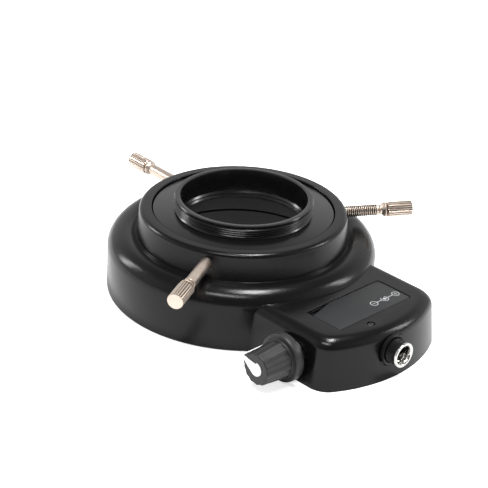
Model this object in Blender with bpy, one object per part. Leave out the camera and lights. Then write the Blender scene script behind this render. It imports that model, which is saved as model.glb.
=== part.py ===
"""Microscope ring light: LED ring housing, thread adapter, thumb screws, dimmer and power socket.

Run with: blender --background --python part.py
Lengths are in metres. The ring's axis is parallel to Z, and the control box points along +X.
The origin is the middle of the floor of the part's bounding box.
"""
import math

import bmesh
import bpy
from mathutils import Matrix, Vector

MM = 0.001

# Fits and counts that every piece shares
FIT_GAP = 0.3 * MM
OVERRUN = 2.0 * MM
WELD = 0.5 * MM
RING_STEPS = 48
PIN_STEPS = 16
SCREW_STEPS = 12
SOCKET_STEPS = 24
SPOT_STEPS = 28
ARC_STEPS = 5
CORNER_STEPS = 3
ROOT_STEPS = 12
END_STEPS = 14
SHARP_ANGLE = math.radians(32.0)

# Housing ring, outside
BASE_RADIUS = 46.5 * MM
BASE_FOOT_BEVEL = 0.6 * MM
BASE_HEIGHT = 21.2 * MM
SHOULDER_ROUND = 6.2 * MM
VALLEY_WIDTH = 2.4 * MM
VALLEY_DEPTH = 1.1 * MM
NECK_FOOT_RADIUS = 36.6 * MM
NECK_RADIUS = 35.8 * MM
NECK_HEIGHT = 29.7 * MM
NECK_ROUND = 1.6 * MM

# Housing ring, inside
ADAPTER_BORE_RADIUS = 31.5 * MM
ADAPTER_SEAT_HEIGHT = 22.1 * MM
SEAT_RADIUS = 29.8 * MM
SEAT_THICKNESS = 1.7 * MM
BORE_RADIUS = 30.9 * MM
LOWER_BORE_RADIUS = 30.3 * MM
BORE_STEP_HEIGHT = 13.8 * MM
TUBE_WALL = 3.0 * MM
RING_WALL = 2.2 * MM
RING_CEILING = 17.8 * MM
CEILING_BEVEL = 2.0 * MM
WINDOW_LEDGE = 0.8 * MM
WINDOW_RECESS = 0.5 * MM
WINDOW_THICKNESS = 2.0 * MM

# Control box
BOX_CENTRE_Y = -2.3 * MM
BOX_REACH = 75.9 * MM
BOX_HALF_WIDTH = 27.8 * MM
BOX_END_RADIUS = 50.0 * MM
BOX_CORNER_RADIUS = 7.5 * MM
BOX_HEIGHT = 17.3 * MM
BOX_ROUND = 4.0 * MM
BOX_DRAFT = math.radians(5.0)
BOX_WALL = 2.4 * MM
BOX_RIM = 1.9 * MM
BOX_ROOF = 2.0 * MM
BOX_ROOT_INSET = 1.1 * MM
BOX_DIVIDER_RADIUS = 47.0 * MM
COVER_RECESS = 0.5 * MM
COVER_THICKNESS = 2.0 * MM
WIRE_SLOT_WIDTH = 8.0 * MM
WIRE_SLOT_HEIGHT = 3.0 * MM
WIRE_SLOT_START = 41.0 * MM
WIRE_SLOT_END = 49.0 * MM

# Cover screws and their bosses, with places measured from the ring's axis
COVER_SCREW_LEFT_X = 64.5 * MM
COVER_SCREW_LEFT_Y = -20.3 * MM
COVER_SCREW_RIGHT_X = 64.8 * MM
COVER_SCREW_RIGHT_Y = 15.5 * MM
COVER_SCREW_FAR_X = 46.8 * MM
COVER_SCREW_FAR_Y = 17.5 * MM
COVER_SCREW_NEAR_X = 45.0 * MM
COVER_SCREW_NEAR_Y = -21.8 * MM
COVER_BOSS_RADIUS = 2.4 * MM
COVER_BOSS_RELIEF = 0.1 * MM
COVER_SCREW_RADIUS = 0.9 * MM
COVER_SCREW_LENGTH = 7.0 * MM
COVER_SCREW_HEAD_RADIUS = 1.8 * MM
COVER_SCREW_HEAD_HEIGHT = 0.7 * MM
COVER_SCREW_SINK = 0.2 * MM

# Light ring
BOARD_THICKNESS = 1.6 * MM
LED_BOARD_HEIGHT = 8.2 * MM
LED_ROW_RADIUS = 36.9 * MM
LED_ROW_SPACING = 4.2 * MM
LED_ROW_COUNT = 16
LED_RADIUS = 1.5 * MM
LED_LENGTH = 4.2 * MM
LED_SIDES = 6
DOME_RADIUS_SHARE = 0.7
DOME_HEIGHT_SHARE = 0.3
LED_STRIP_THICKNESS = 0.6 * MM
LED_STRIP_MARGIN = 1.8 * MM
LED_SCREW_RING = 39.0 * MM
LED_SCREW_TURNS = (28.125, 151.875, 264.375)
SMALL_SCREW_RADIUS = 0.7 * MM
SMALL_SCREW_LENGTH = 4.5 * MM
SMALL_SCREW_HEAD_RADIUS = 1.2 * MM
SMALL_SCREW_HEAD_HEIGHT = 0.6 * MM
SMALL_BOSS_RADIUS = 1.8 * MM

# Thread adapter
ADAPTER_RADIUS = 31.1 * MM
ADAPTER_TOP = 29.2 * MM
ADAPTER_EDGE_BEVEL = 0.35 * MM
GROOVE_DEPTH = 1.9 * MM
GROOVE_FLOOR = 0.8 * MM
GROOVE_MOUTH = 4.2 * MM
COLLAR_RADIUS = 24.0 * MM
COLLAR_BORE_RADIUS = 21.75 * MM
COLLAR_TOP = 33.9 * MM
COLLAR_RIM_BEVEL = 0.35 * MM
THREAD_PITCH = 0.75 * MM
THREAD_DEPTH = 0.4 * MM
THREAD_TURNS = 3
ADAPTER_FOOT_BEVEL = 1.4 * MM

# Thumb screws: turn round the ring, and how far each one is backed out
SCREW_TURNS = (59.8, 177.8, 297.2)
SCREW_HEIGHT = 25.5 * MM
SCREW_TIP_RING = 31.8 * MM
SCREW_BACK_OUT = 3.0 * MM
SCREW_BACK_OUT_SHARES = (0.0, 0.05, 1.0)
SCREW_RADIUS = 1.95 * MM
SCREW_TIP_BEVEL = 1.2 * MM
SCREW_SHANK_LENGTH = 17.1 * MM
SCREW_COLLAR_LENGTH = 2.2 * MM
SCREW_COLLAR_RADIUS = 2.6 * MM
SCREW_COLLAR_BEVEL = 1.0 * MM
SCREW_NECK_WIDTH = 0.5 * MM
SCREW_HEAD_RADIUS = 2.7 * MM
SCREW_HEAD_LENGTH = 9.1 * MM
SCREW_HEAD_BEVEL = 0.4 * MM
KNURL_TEETH = 16
KNURL_DEPTH = 0.16 * MM
SPIGOT_RADIUS = 1.0 * MM
SPIGOT_LENGTH = 4.0 * MM
INSERT_RADIUS = 2.8 * MM
INSERT_LENGTH = 3.2 * MM

# Dimmer
DIMMER_X = 54.34 * MM
DIMMER_FLOOR_SHARE = 0.36
KNOB_BACK = 32.2 * MM
KNOB_LENGTH = 13.25 * MM
KNOB_SKIRT_RADIUS = 8.15 * MM
KNOB_SKIRT_FRONT_RADIUS = 8.0 * MM
KNOB_SKIRT_LENGTH = 3.0 * MM
KNOB_FOOT_RADIUS = 6.6 * MM
KNOB_FOOT_LENGTH = 0.8 * MM
KNOB_BODY_RADIUS = 6.3 * MM
KNOB_FACE_RADIUS = 5.4 * MM
KNOB_ROUND = 0.5 * MM
KNOB_FLUTES = 18
KNOB_FLUTE_STEPS = 3
KNOB_FLUTE_DEPTH = 0.3 * MM
KNOB_HOLLOW_RADIUS = 6.2 * MM
KNOB_HOLLOW_DEPTH = 1.9 * MM
POINTER_TURN = math.radians(157.0)
POINTER_THICKNESS = 0.5 * MM
POINTER_PROUD = 0.3 * MM
POINTER_END_RADIUS = 2.3 * MM
POINTER_END_DROP = -0.3 * MM
POINTER_END_REACH = -0.1 * MM
POINTER_LINE_WIDTH = 0.9 * MM
POINTER_LINE_LENGTH = 9.2 * MM
POINTER_ARC_START = math.radians(75.0)
POINTER_ARC_END = math.radians(285.0)
POINTER_ARC_STEPS = 10
SHAFT_RADIUS = 3.0 * MM
SHAFT_NECK_RADIUS = 2.2 * MM
SHAFT_GRIP = 8.0 * MM
BUSHING_RADIUS = 3.5 * MM
BUSHING_FLANGE_RADIUS = 4.6 * MM
BUSHING_FLANGE_THICKNESS = 0.6 * MM
DIMMER_CASE_WIDTH = 9.6 * MM
DIMMER_CASE_HEIGHT = 9.4 * MM
DIMMER_CASE_DEPTH = 5.6 * MM
DIMMER_SPOT_RADIUS = 5.0 * MM
DIMMER_SPOT_DEPTH = 1.3 * MM
WASHER_RADIUS = 4.7 * MM
WASHER_THICKNESS = 0.5 * MM
DIMMER_NUT_RADIUS = 4.7 * MM
DIMMER_NUT_THICKNESS = 1.7 * MM

# Power socket
SOCKET_Y = -5.8 * MM
SOCKET_FLOOR_SHARE = 0.895
SOCKET_FRONT = 80.3 * MM
SOCKET_BARREL_RADIUS = 4.1 * MM
SOCKET_SLEEVE_RADIUS = 3.2 * MM
SOCKET_SLEEVE_DEPTH = 6.0 * MM
SOCKET_LIP_RADIUS = 4.2 * MM
SOCKET_LIP_THICKNESS = 0.8 * MM
SOCKET_MOUTH_RADIUS = 3.1 * MM
PLUG_CLEAR_RADIUS = 2.85 * MM
SOCKET_PIN_RADIUS = 1.0 * MM
SOCKET_PIN_SINK = 1.6 * MM
SOCKET_PIN_TAIL = 1.0 * MM
SOCKET_CASE_RADIUS = 4.3 * MM
SOCKET_CASE_LENGTH = 8.6 * MM
SOCKET_FLOOR = 4.5 * MM
SOCKET_FLANGE_RADIUS = 4.5 * MM
SOCKET_FLANGE_THICKNESS = 0.6 * MM
SOCKET_SPOT_RADIUS = 5.6 * MM
SOCKET_SPOT_DEPTH = 1.5 * MM
SOCKET_NUT_RADIUS = 5.2 * MM
SOCKET_NUT_THICKNESS = 1.3 * MM

# Roof of the control box: plate and screw
PLATE_X = 57.15 * MM
PLATE_Y = -2.1 * MM
PLATE_LENGTH = 14.7 * MM
PLATE_WIDTH = 34.2 * MM
PLATE_CORNER = 1.2 * MM
PLATE_RECESS = 0.8 * MM
PLATE_THICKNESS = 0.4 * MM
PLATE_CLIP_LENGTH = 10.0 * MM
PLATE_CLIP_WIDTH = 2.6 * MM
ROOF_SCREW_X = 67.8 * MM
ROOF_SCREW_Y = -8.5 * MM
ROOF_SCREW_HOLE_RADIUS = 1.35 * MM
ROOF_SCREW_SINK = 0.9 * MM
ROOF_SCREW_HEAD_HEIGHT = 0.45 * MM
ROOF_SCREW_RADIUS = 0.6 * MM
ROOF_SCREW_LENGTH = 0.9 * MM

# Driver board
DRIVER_X = 55.6 * MM
DRIVER_SIDE_GAP = 1.5 * MM
DRIVER_LENGTH = 10.4 * MM
DRIVER_WIDTH = 32.0 * MM
DRIVER_HEIGHT = 5.0 * MM
DRIVER_SCREW_X = 53.2 * MM
DRIVER_SCREW_MARGIN = 2.6 * MM
CAPACITOR_X = 57.3 * MM
CAPACITOR_SHARE = 0.25
CAPACITOR_RADIUS = 2.5 * MM
CAPACITOR_HEADROOM = 2.4 * MM
COIL_X = 57.6 * MM
COIL_SHARE = 0.48
COIL_RADIUS = 2.8 * MM
COIL_WAIST_RADIUS = 2.0 * MM
COIL_FLANGE = 0.8 * MM
COIL_HEIGHT = 4.0 * MM
CHIP_X = 54.3 * MM
CHIP_SHARE = 0.712
CHIP_LENGTH = 4.4 * MM
CHIP_WIDTH = 6.4 * MM
CHIP_HEIGHT = 2.2 * MM

# Wires
WIRE_RADIUS = 0.6 * MM
WIRE_SIDES = 8
WIRE_SPACING = 3.0 * MM
WIRE_BEND = 1.2 * MM
LED_WIRE_START = 39.5 * MM
LED_WIRE_END = 51.2 * MM
LED_WIRE_RISE = 1.8 * MM
SOCKET_WIRE_X = 59.3 * MM

# Radii and heights that follow from the sizes above
TUBE_RADIUS = LOWER_BORE_RADIUS + TUBE_WALL
WINDOW_POCKET_RADIUS = BASE_RADIUS - RING_WALL
CAVITY_INNER_RADIUS = TUBE_RADIUS + WINDOW_LEDGE
CAVITY_OUTER_RADIUS = WINDOW_POCKET_RADIUS - WINDOW_LEDGE
WINDOW_LEDGE_HEIGHT = WINDOW_RECESS + WINDOW_THICKNESS + FIT_GAP
COVER_TOP = COVER_RECESS + COVER_THICKNESS
COVER_LEDGE_HEIGHT = COVER_TOP + FIT_GAP
BOX_CEILING = BOX_HEIGHT - BOX_ROOF
BOX_CAVITY_INSET = BOX_WALL + BOX_HEIGHT * math.tan(BOX_DRAFT)
BOX_ROOM = BOX_CEILING - COVER_TOP
BOX_FAR_WALL = BOX_CENTRE_Y + BOX_HALF_WIDTH - BOX_CAVITY_INSET
LED_BOARD_TOP = LED_BOARD_HEIGHT + BOARD_THICKNESS
LED_WIRE_HEIGHT = LED_BOARD_TOP + LED_WIRE_RISE
WIRE_SLOT_FLOOR = LED_WIRE_HEIGHT - WIRE_SLOT_HEIGHT / 2
DRIVER_TOP = DRIVER_HEIGHT + BOARD_THICKNESS
DRIVER_END = BOX_FAR_WALL - DRIVER_SIDE_GAP
DRIVER_START = DRIVER_END - DRIVER_WIDTH
CAPACITOR_Y = DRIVER_END - DRIVER_WIDTH * CAPACITOR_SHARE
CAPACITOR_HEIGHT = BOX_CEILING - CAPACITOR_HEADROOM - DRIVER_TOP - FIT_GAP
COIL_Y = DRIVER_END - DRIVER_WIDTH * COIL_SHARE
CHIP_Y = DRIVER_END - DRIVER_WIDTH * CHIP_SHARE
DIMMER_FLOOR = COVER_TOP + DIMMER_FLOOR_SHARE * (BOX_ROOM - DIMMER_CASE_HEIGHT)
DIMMER_HEIGHT = DIMMER_FLOOR + DIMMER_CASE_HEIGHT / 2
SOCKET_HEIGHT = COVER_TOP + SOCKET_FLOOR_SHARE * (BOX_ROOM - 2 * SOCKET_FLANGE_RADIUS) + SOCKET_FLANGE_RADIUS
DIMMER_SIDE = BOX_HALF_WIDTH - BOX_CENTRE_Y
DIMMER_WALL = DIMMER_SIDE - BOX_CAVITY_INSET
DIMMER_SEAT = DIMMER_SIDE - DIMMER_SPOT_DEPTH
DIMMER_CASE_FACE = DIMMER_WALL - FIT_GAP - BUSHING_FLANGE_THICKNESS - FIT_GAP
SOCKET_WALL = BOX_REACH - BOX_CAVITY_INSET
SOCKET_SEAT = BOX_REACH - SOCKET_SPOT_DEPTH
SOCKET_REAR = SOCKET_WALL - FIT_GAP - SOCKET_CASE_LENGTH
COVER_SCREW_PLACES = (
    (COVER_SCREW_LEFT_X, COVER_SCREW_LEFT_Y),
    (COVER_SCREW_RIGHT_X, COVER_SCREW_RIGHT_Y),
    (COVER_SCREW_FAR_X, COVER_SCREW_FAR_Y),
    (COVER_SCREW_NEAR_X, COVER_SCREW_NEAR_Y),
)
DRIVER_SCREW_PLACES = (
    (DRIVER_SCREW_X, DRIVER_START + DRIVER_SCREW_MARGIN),
    (DRIVER_SCREW_X, DRIVER_END - DRIVER_SCREW_MARGIN),
)
LED_SCREW_PLACES = tuple(
    (LED_SCREW_RING * math.cos(math.radians(turn)), LED_SCREW_RING * math.sin(math.radians(turn)))
    for turn in LED_SCREW_TURNS
)

# Placements whose local Z is the piece's own axis
DIMMER_PLACE = Matrix.Translation((DIMMER_X, 0.0, DIMMER_HEIGHT)) @ Matrix.Rotation(math.pi / 2, 4, "X")
SOCKET_PLACE = Matrix.Translation((0.0, SOCKET_Y, SOCKET_HEIGHT)) @ Matrix.Rotation(math.pi / 2, 4, "Y")


def clear_scene():
    for item in list(bpy.data.objects):
        bpy.data.objects.remove(item, do_unlink=True)


def finish(item, colour, roughness, metallic=0.0, alpha=1.0):
    """Gives the piece its own Principled material."""
    material = bpy.data.materials.new(item.name + "_finish")
    material.use_nodes = True
    shader = material.node_tree.nodes["Principled BSDF"]
    shader.inputs["Base Color"].default_value = (*colour, 1.0)
    shader.inputs["Roughness"].default_value = roughness
    shader.inputs["Metallic"].default_value = metallic
    shader.inputs["Alpha"].default_value = alpha
    item.data.materials.append(material)
    return item


def black_plastic(item):
    return finish(item, (0.025, 0.025, 0.027), 0.45)


def knob_plastic(item):
    return finish(item, (0.012, 0.012, 0.013), 0.6)


def white_plastic(item):
    return finish(item, (0.85, 0.85, 0.83), 0.4)


def black_anodised(item):
    return finish(item, (0.02, 0.02, 0.022), 0.38, metallic=0.6)


def nickel(item):
    return finish(item, (0.62, 0.55, 0.49), 0.28, metallic=1.0)


def brass(item):
    return finish(item, (0.65, 0.48, 0.2), 0.35, metallic=1.0)


def steel(item):
    return finish(item, (0.5, 0.5, 0.52), 0.35, metallic=1.0)


def board_green(item):
    return finish(item, (0.03, 0.18, 0.08), 0.5)


def clear_plastic(item):
    return finish(item, (0.9, 0.93, 0.95), 0.1, alpha=0.35)


def led_resin(item):
    return finish(item, (0.9, 0.85, 0.6), 0.25)


def red_cable(item):
    return finish(item, (0.5, 0.02, 0.02), 0.5)


def black_cable(item):
    return finish(item, (0.02, 0.02, 0.02), 0.5)


def mesh_object(name, builder, place=None):
    """Turns a bmesh into an object with its faces out and its round sides smooth."""
    bmesh.ops.recalc_face_normals(builder, faces=builder.faces)
    mesh = bpy.data.meshes.new(name)
    builder.to_mesh(mesh)
    builder.free()
    mesh.shade_smooth()
    mesh.set_sharp_from_angle(angle=SHARP_ANGLE)
    item = bpy.data.objects.new(name, mesh)
    bpy.context.collection.objects.link(item)
    if place is not None:
        item.matrix_world = place
    return item


def add_turned(builder, profile, steps, place=None, waves=0, wave_depth=0.0):
    """Adds a body turned round Z from an outline of (radius, height) points.

    A third value on a point is the share of the wave's depth that is cut into that ring.
    """
    place = place or Matrix.Identity(4)
    rings = []
    for radius, height, *share in profile:
        if radius == 0:
            rings.append([builder.verts.new(place @ Vector((0, 0, height)))] * steps)
            continue
        ring = []
        for step in range(steps):
            turn = math.tau * step / steps
            dip = wave_depth * sum(share) * (1 - math.cos(waves * turn)) / 2
            point = ((radius - dip) * math.cos(turn), (radius - dip) * math.sin(turn), height)
            ring.append(builder.verts.new(place @ Vector(point)))
        rings.append(ring)
    pairs = list(zip(rings, rings[1:]))
    if profile[0][0] != 0:
        pairs.append((rings[-1], rings[0]))
    for low, high in pairs:
        for step in range(steps):
            after = (step + 1) % steps
            corners = (low[step], low[after], high[after], high[step])
            builder.faces.new(list(dict.fromkeys(corners)))


def add_loft(builder, rows, place=None):
    """Adds a body through rows of (outline, height), with the first and last row closed."""
    place = place or Matrix.Identity(4)
    rings = []
    for outline, height in rows:
        rings.append([builder.verts.new(place @ Vector((x, y, height))) for x, y in outline])
    builder.faces.new(rings[0])
    builder.faces.new(rings[-1])
    for low, high in zip(rings, rings[1:]):
        for index in range(len(low)):
            after = (index + 1) % len(low)
            builder.faces.new((low[index], low[after], high[after], high[index]))


def turned(name, profile, steps=PIN_STEPS, place=None, waves=0, wave_depth=0.0):
    builder = bmesh.new()
    add_turned(builder, profile, steps, None, waves, wave_depth)
    return mesh_object(name, builder, place)


def loft(name, rows, place=None):
    builder = bmesh.new()
    add_loft(builder, rows)
    return mesh_object(name, builder, place)


def rectangle(x_low, x_high, y_low, y_high):
    return ((x_low, y_low), (x_high, y_low), (x_high, y_high), (x_low, y_high))


def block(name, x_span, y_span, z_span, place=None):
    outline = rectangle(*x_span, *y_span)
    return loft(name, ((outline, z_span[0]), (outline, z_span[1])), place)


def arc(centre_x, centre_y, radius, start, end, steps=ARC_STEPS):
    """Points along an arc, with both ends, angles in radians."""
    points = []
    for step in range(steps + 1):
        turn = start + (end - start) * step / steps
        points.append((centre_x + radius * math.cos(turn), centre_y + radius * math.sin(turn)))
    return points


def upright(place):
    return Matrix.Translation((place[0], place[1], 0.0))


def radial(turn, reach=0.0):
    """Placement on a thumb screw's axis, with local Z pointing away from the ring's axis."""
    aim = Matrix.Rotation(math.radians(turn), 4, "Z") @ Matrix.Rotation(math.pi / 2, 4, "Y")
    return Matrix.Translation((0.0, 0.0, SCREW_HEIGHT)) @ aim @ Matrix.Translation((0.0, 0.0, reach))


def combine(target, other, operation):
    """Keeps a live Boolean on the target and hides the object that it uses."""
    modifier = target.modifiers.new(other.name, "BOOLEAN")
    modifier.operation = operation
    modifier.object = other
    modifier.solver = "EXACT"
    other.hide_render = True
    other.display_type = "WIRE"


def cut(target, cutter):
    combine(target, cutter, "DIFFERENCE")


def join(target, addition):
    combine(target, addition, "UNION")


def screw_profile(head_radius, head_height, shank_radius, length):
    """Half section of a flat-headed small screw: the head's face is at zero, the shank points up."""
    return (
        (0.0, 0.0),
        (head_radius, 0.0),
        (head_radius, head_height),
        (shank_radius, head_height),
        (shank_radius, head_height + length),
        (0.0, head_height + length),
    )


def box_outline(inset, root_radius):
    """Plan of the control box: concave root arc, left side, curved end and right side."""
    half_width = BOX_HALF_WIDTH - inset
    end_radius = BOX_END_RADIUS - inset
    corner_radius = BOX_CORNER_RADIUS - inset
    centre_x = BOX_REACH - BOX_END_RADIUS
    corner_y = half_width - corner_radius
    corner_x = math.sqrt((end_radius - corner_radius) ** 2 - corner_y ** 2)
    swing = math.atan2(corner_y, corner_x)
    right = BOX_CENTRE_Y + half_width
    left = BOX_CENTRE_Y - half_width
    points = arc(0.0, 0.0, root_radius, math.asin(right / root_radius), math.asin(left / root_radius),
                 ROOT_STEPS)
    points += arc(
        centre_x + corner_x, BOX_CENTRE_Y - corner_y, corner_radius, -math.pi / 2, -swing)
    points += arc(centre_x, BOX_CENTRE_Y, end_radius, -swing, swing, END_STEPS)[1:-1]
    points += arc(
        centre_x + corner_x, BOX_CENTRE_Y + corner_y, corner_radius, swing, math.pi / 2)
    return points


def rounded_rectangle(centre_x, centre_y, length, width, corner):
    """Plan outline that starts on the side at low X."""
    half_x = length / 2 - corner
    half_y = width / 2 - corner
    points = []
    for quarter, (side_x, side_y) in enumerate(((-1, -1), (1, -1), (1, 1), (-1, 1))):
        start = math.pi + quarter * math.pi / 2
        points += arc(
            centre_x + side_x * half_x, centre_y + side_y * half_y, corner, start, start + math.pi / 2,
            CORNER_STEPS)
    return points


def ring_profile():
    """Half section of the housing ring: bore, floor rims, LED cavity and outside."""
    shoulder_x = BASE_RADIUS - SHOULDER_ROUND
    shoulder_z = BASE_HEIGHT - SHOULDER_ROUND
    seat_floor = ADAPTER_SEAT_HEIGHT - SEAT_THICKNESS
    profile = [
        (LOWER_BORE_RADIUS, 0.0),
        (TUBE_RADIUS, 0.0),
        (TUBE_RADIUS, WINDOW_LEDGE_HEIGHT),
        (CAVITY_INNER_RADIUS, WINDOW_LEDGE_HEIGHT),
        (CAVITY_INNER_RADIUS, RING_CEILING),
        (CAVITY_OUTER_RADIUS - CEILING_BEVEL, RING_CEILING),
        (CAVITY_OUTER_RADIUS, RING_CEILING - CEILING_BEVEL),
        (CAVITY_OUTER_RADIUS, WINDOW_LEDGE_HEIGHT),
        (WINDOW_POCKET_RADIUS, WINDOW_LEDGE_HEIGHT),
        (WINDOW_POCKET_RADIUS, 0.0),
        (BASE_RADIUS - BASE_FOOT_BEVEL, 0.0),
        (BASE_RADIUS, BASE_FOOT_BEVEL),
    ]
    profile += arc(shoulder_x, shoulder_z, SHOULDER_ROUND, 0.0, math.pi / 2)
    profile += [
        (NECK_FOOT_RADIUS + VALLEY_WIDTH, BASE_HEIGHT),
        (NECK_FOOT_RADIUS, BASE_HEIGHT - VALLEY_DEPTH),
    ]
    profile += arc(
        NECK_RADIUS - NECK_ROUND, NECK_HEIGHT - NECK_ROUND, NECK_ROUND, 0.0, math.pi / 2, CORNER_STEPS)
    profile += [
        (ADAPTER_BORE_RADIUS, NECK_HEIGHT),
        (ADAPTER_BORE_RADIUS, ADAPTER_SEAT_HEIGHT),
        (SEAT_RADIUS, ADAPTER_SEAT_HEIGHT),
        (SEAT_RADIUS, seat_floor),
        (BORE_RADIUS, seat_floor),
        (BORE_RADIUS, BORE_STEP_HEIGHT),
        (LOWER_BORE_RADIUS, BORE_STEP_HEIGHT),
    ]
    return profile


def make_box_solid():
    """The control box before it is hollowed, with drafted sides and a rounded roof edge."""
    root_radius = BASE_RADIUS - BOX_ROOT_INSET
    side_height = BOX_HEIGHT - BOX_ROUND
    side_inset = side_height * math.tan(BOX_DRAFT)
    rows = [(box_outline(0.0, root_radius), 0.0)]
    for inset, height in arc(side_inset + BOX_ROUND, side_height, BOX_ROUND, math.pi, math.pi / 2):
        rows.append((box_outline(inset, root_radius), height))
    return loft("box_solid", rows)


def make_box_hollow():
    """Pocket for the cover and the space above it."""
    pocket = box_outline(BOX_RIM, BOX_DIVIDER_RADIUS)
    hollow = box_outline(BOX_CAVITY_INSET, BOX_DIVIDER_RADIUS + WELD)
    rows = (
        (pocket, -OVERRUN),
        (pocket, COVER_LEDGE_HEIGHT),
        (hollow, COVER_LEDGE_HEIGHT),
        (hollow, BOX_CEILING),
    )
    return loft("box_hollow", rows)


def peg_profile(radius, low, high):
    return ((0.0, low), (radius, low), (radius, high), (0.0, high))


def add_bosses(builder, places, radius, low, high, screw_radius, screw_top):
    """Adds hanging bosses, each with a blind hole that is clear of its screw all round."""
    profile = (
        (0.0, screw_top + FIT_GAP),
        (screw_radius + FIT_GAP, screw_top + FIT_GAP),
        (screw_radius + FIT_GAP, low),
        (radius, low),
        (radius, high),
        (0.0, high),
    )
    for place in places:
        add_turned(builder, profile, SCREW_STEPS, upright(place))


def make_bosses():
    """Screw bosses that hang from the ceilings of the box and the ring."""
    builder = bmesh.new()
    box_top = BOX_CEILING + WELD
    cover_top = COVER_RECESS + COVER_SCREW_SINK + COVER_SCREW_HEAD_HEIGHT + COVER_SCREW_LENGTH
    driver_top = DRIVER_HEIGHT - FIT_GAP + SMALL_SCREW_LENGTH
    led_top = LED_BOARD_HEIGHT - FIT_GAP + SMALL_SCREW_LENGTH
    add_bosses(builder, COVER_SCREW_PLACES, COVER_BOSS_RADIUS, COVER_LEDGE_HEIGHT + COVER_BOSS_RELIEF,
               box_top, COVER_SCREW_RADIUS, cover_top)
    add_bosses(builder, DRIVER_SCREW_PLACES, SMALL_BOSS_RADIUS, DRIVER_TOP + FIT_GAP,
               box_top, SMALL_SCREW_RADIUS, driver_top)
    add_bosses(builder, LED_SCREW_PLACES, SMALL_BOSS_RADIUS, LED_BOARD_TOP + FIT_GAP,
               RING_CEILING + WELD, SMALL_SCREW_RADIUS, led_top)
    return mesh_object("bosses", builder)


def make_openings():
    """Thumb screw seats, dimmer and socket holes, plate recess, roof screw hole and wire slot."""
    builder = bmesh.new()
    insert_end = SCREW_TIP_RING + INSERT_LENGTH + FIT_GAP
    seat = (
        (0.0, SEAT_RADIUS),
        (INSERT_RADIUS + FIT_GAP, SEAT_RADIUS),
        (INSERT_RADIUS + FIT_GAP, insert_end),
        (SCREW_RADIUS + FIT_GAP, insert_end),
        (SCREW_RADIUS + FIT_GAP, NECK_FOOT_RADIUS + OVERRUN),
        (0.0, NECK_FOOT_RADIUS + OVERRUN),
    )
    for turn in SCREW_TURNS:
        add_turned(builder, seat, PIN_STEPS, radial(turn))
    dimmer = (
        (0.0, DIMMER_WALL - OVERRUN),
        (BUSHING_RADIUS + FIT_GAP, DIMMER_WALL - OVERRUN),
        (BUSHING_RADIUS + FIT_GAP, DIMMER_SEAT),
        (DIMMER_SPOT_RADIUS, DIMMER_SEAT),
        (DIMMER_SPOT_RADIUS, DIMMER_SIDE + OVERRUN),
        (0.0, DIMMER_SIDE + OVERRUN),
    )
    add_turned(builder, dimmer, PIN_STEPS, DIMMER_PLACE)
    socket = (
        (0.0, SOCKET_WALL - OVERRUN),
        (SOCKET_FLANGE_RADIUS + FIT_GAP, SOCKET_WALL - OVERRUN),
        (SOCKET_FLANGE_RADIUS + FIT_GAP, SOCKET_WALL),
        (SOCKET_BARREL_RADIUS + FIT_GAP, SOCKET_WALL),
        (SOCKET_BARREL_RADIUS + FIT_GAP, SOCKET_SEAT),
        (SOCKET_SPOT_RADIUS, SOCKET_SEAT),
        (SOCKET_SPOT_RADIUS, BOX_REACH + OVERRUN),
        (0.0, BOX_REACH + OVERRUN),
    )
    add_turned(builder, socket, SPOT_STEPS, SOCKET_PLACE)
    recess = rounded_rectangle(PLATE_X, PLATE_Y, PLATE_LENGTH, PLATE_WIDTH, PLATE_CORNER)
    add_loft(builder, ((recess, BOX_HEIGHT - PLATE_RECESS), (recess, BOX_HEIGHT + OVERRUN)))
    roof_seat = BOX_HEIGHT - ROOF_SCREW_SINK
    roof_screw = (
        (0.0, BOX_CEILING - OVERRUN),
        (ROOF_SCREW_RADIUS + FIT_GAP, BOX_CEILING - OVERRUN),
        (ROOF_SCREW_RADIUS + FIT_GAP, roof_seat),
        (ROOF_SCREW_HOLE_RADIUS, roof_seat),
        (ROOF_SCREW_HOLE_RADIUS, BOX_HEIGHT + OVERRUN),
        (0.0, BOX_HEIGHT + OVERRUN),
    )
    add_turned(builder, roof_screw, SCREW_STEPS, upright((ROOF_SCREW_X, ROOF_SCREW_Y)))
    slot = rectangle(WIRE_SLOT_START, WIRE_SLOT_END, -WIRE_SLOT_WIDTH / 2, WIRE_SLOT_WIDTH / 2)
    add_loft(builder, ((slot, WIRE_SLOT_FLOOR), (slot, WIRE_SLOT_FLOOR + WIRE_SLOT_HEIGHT)))
    return mesh_object("openings", builder)


def make_housing():
    housing = black_plastic(turned("housing_shell", ring_profile(), RING_STEPS))
    join(housing, make_box_solid())
    cut(housing, make_box_hollow())
    join(housing, make_bosses())
    cut(housing, make_openings())


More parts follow.
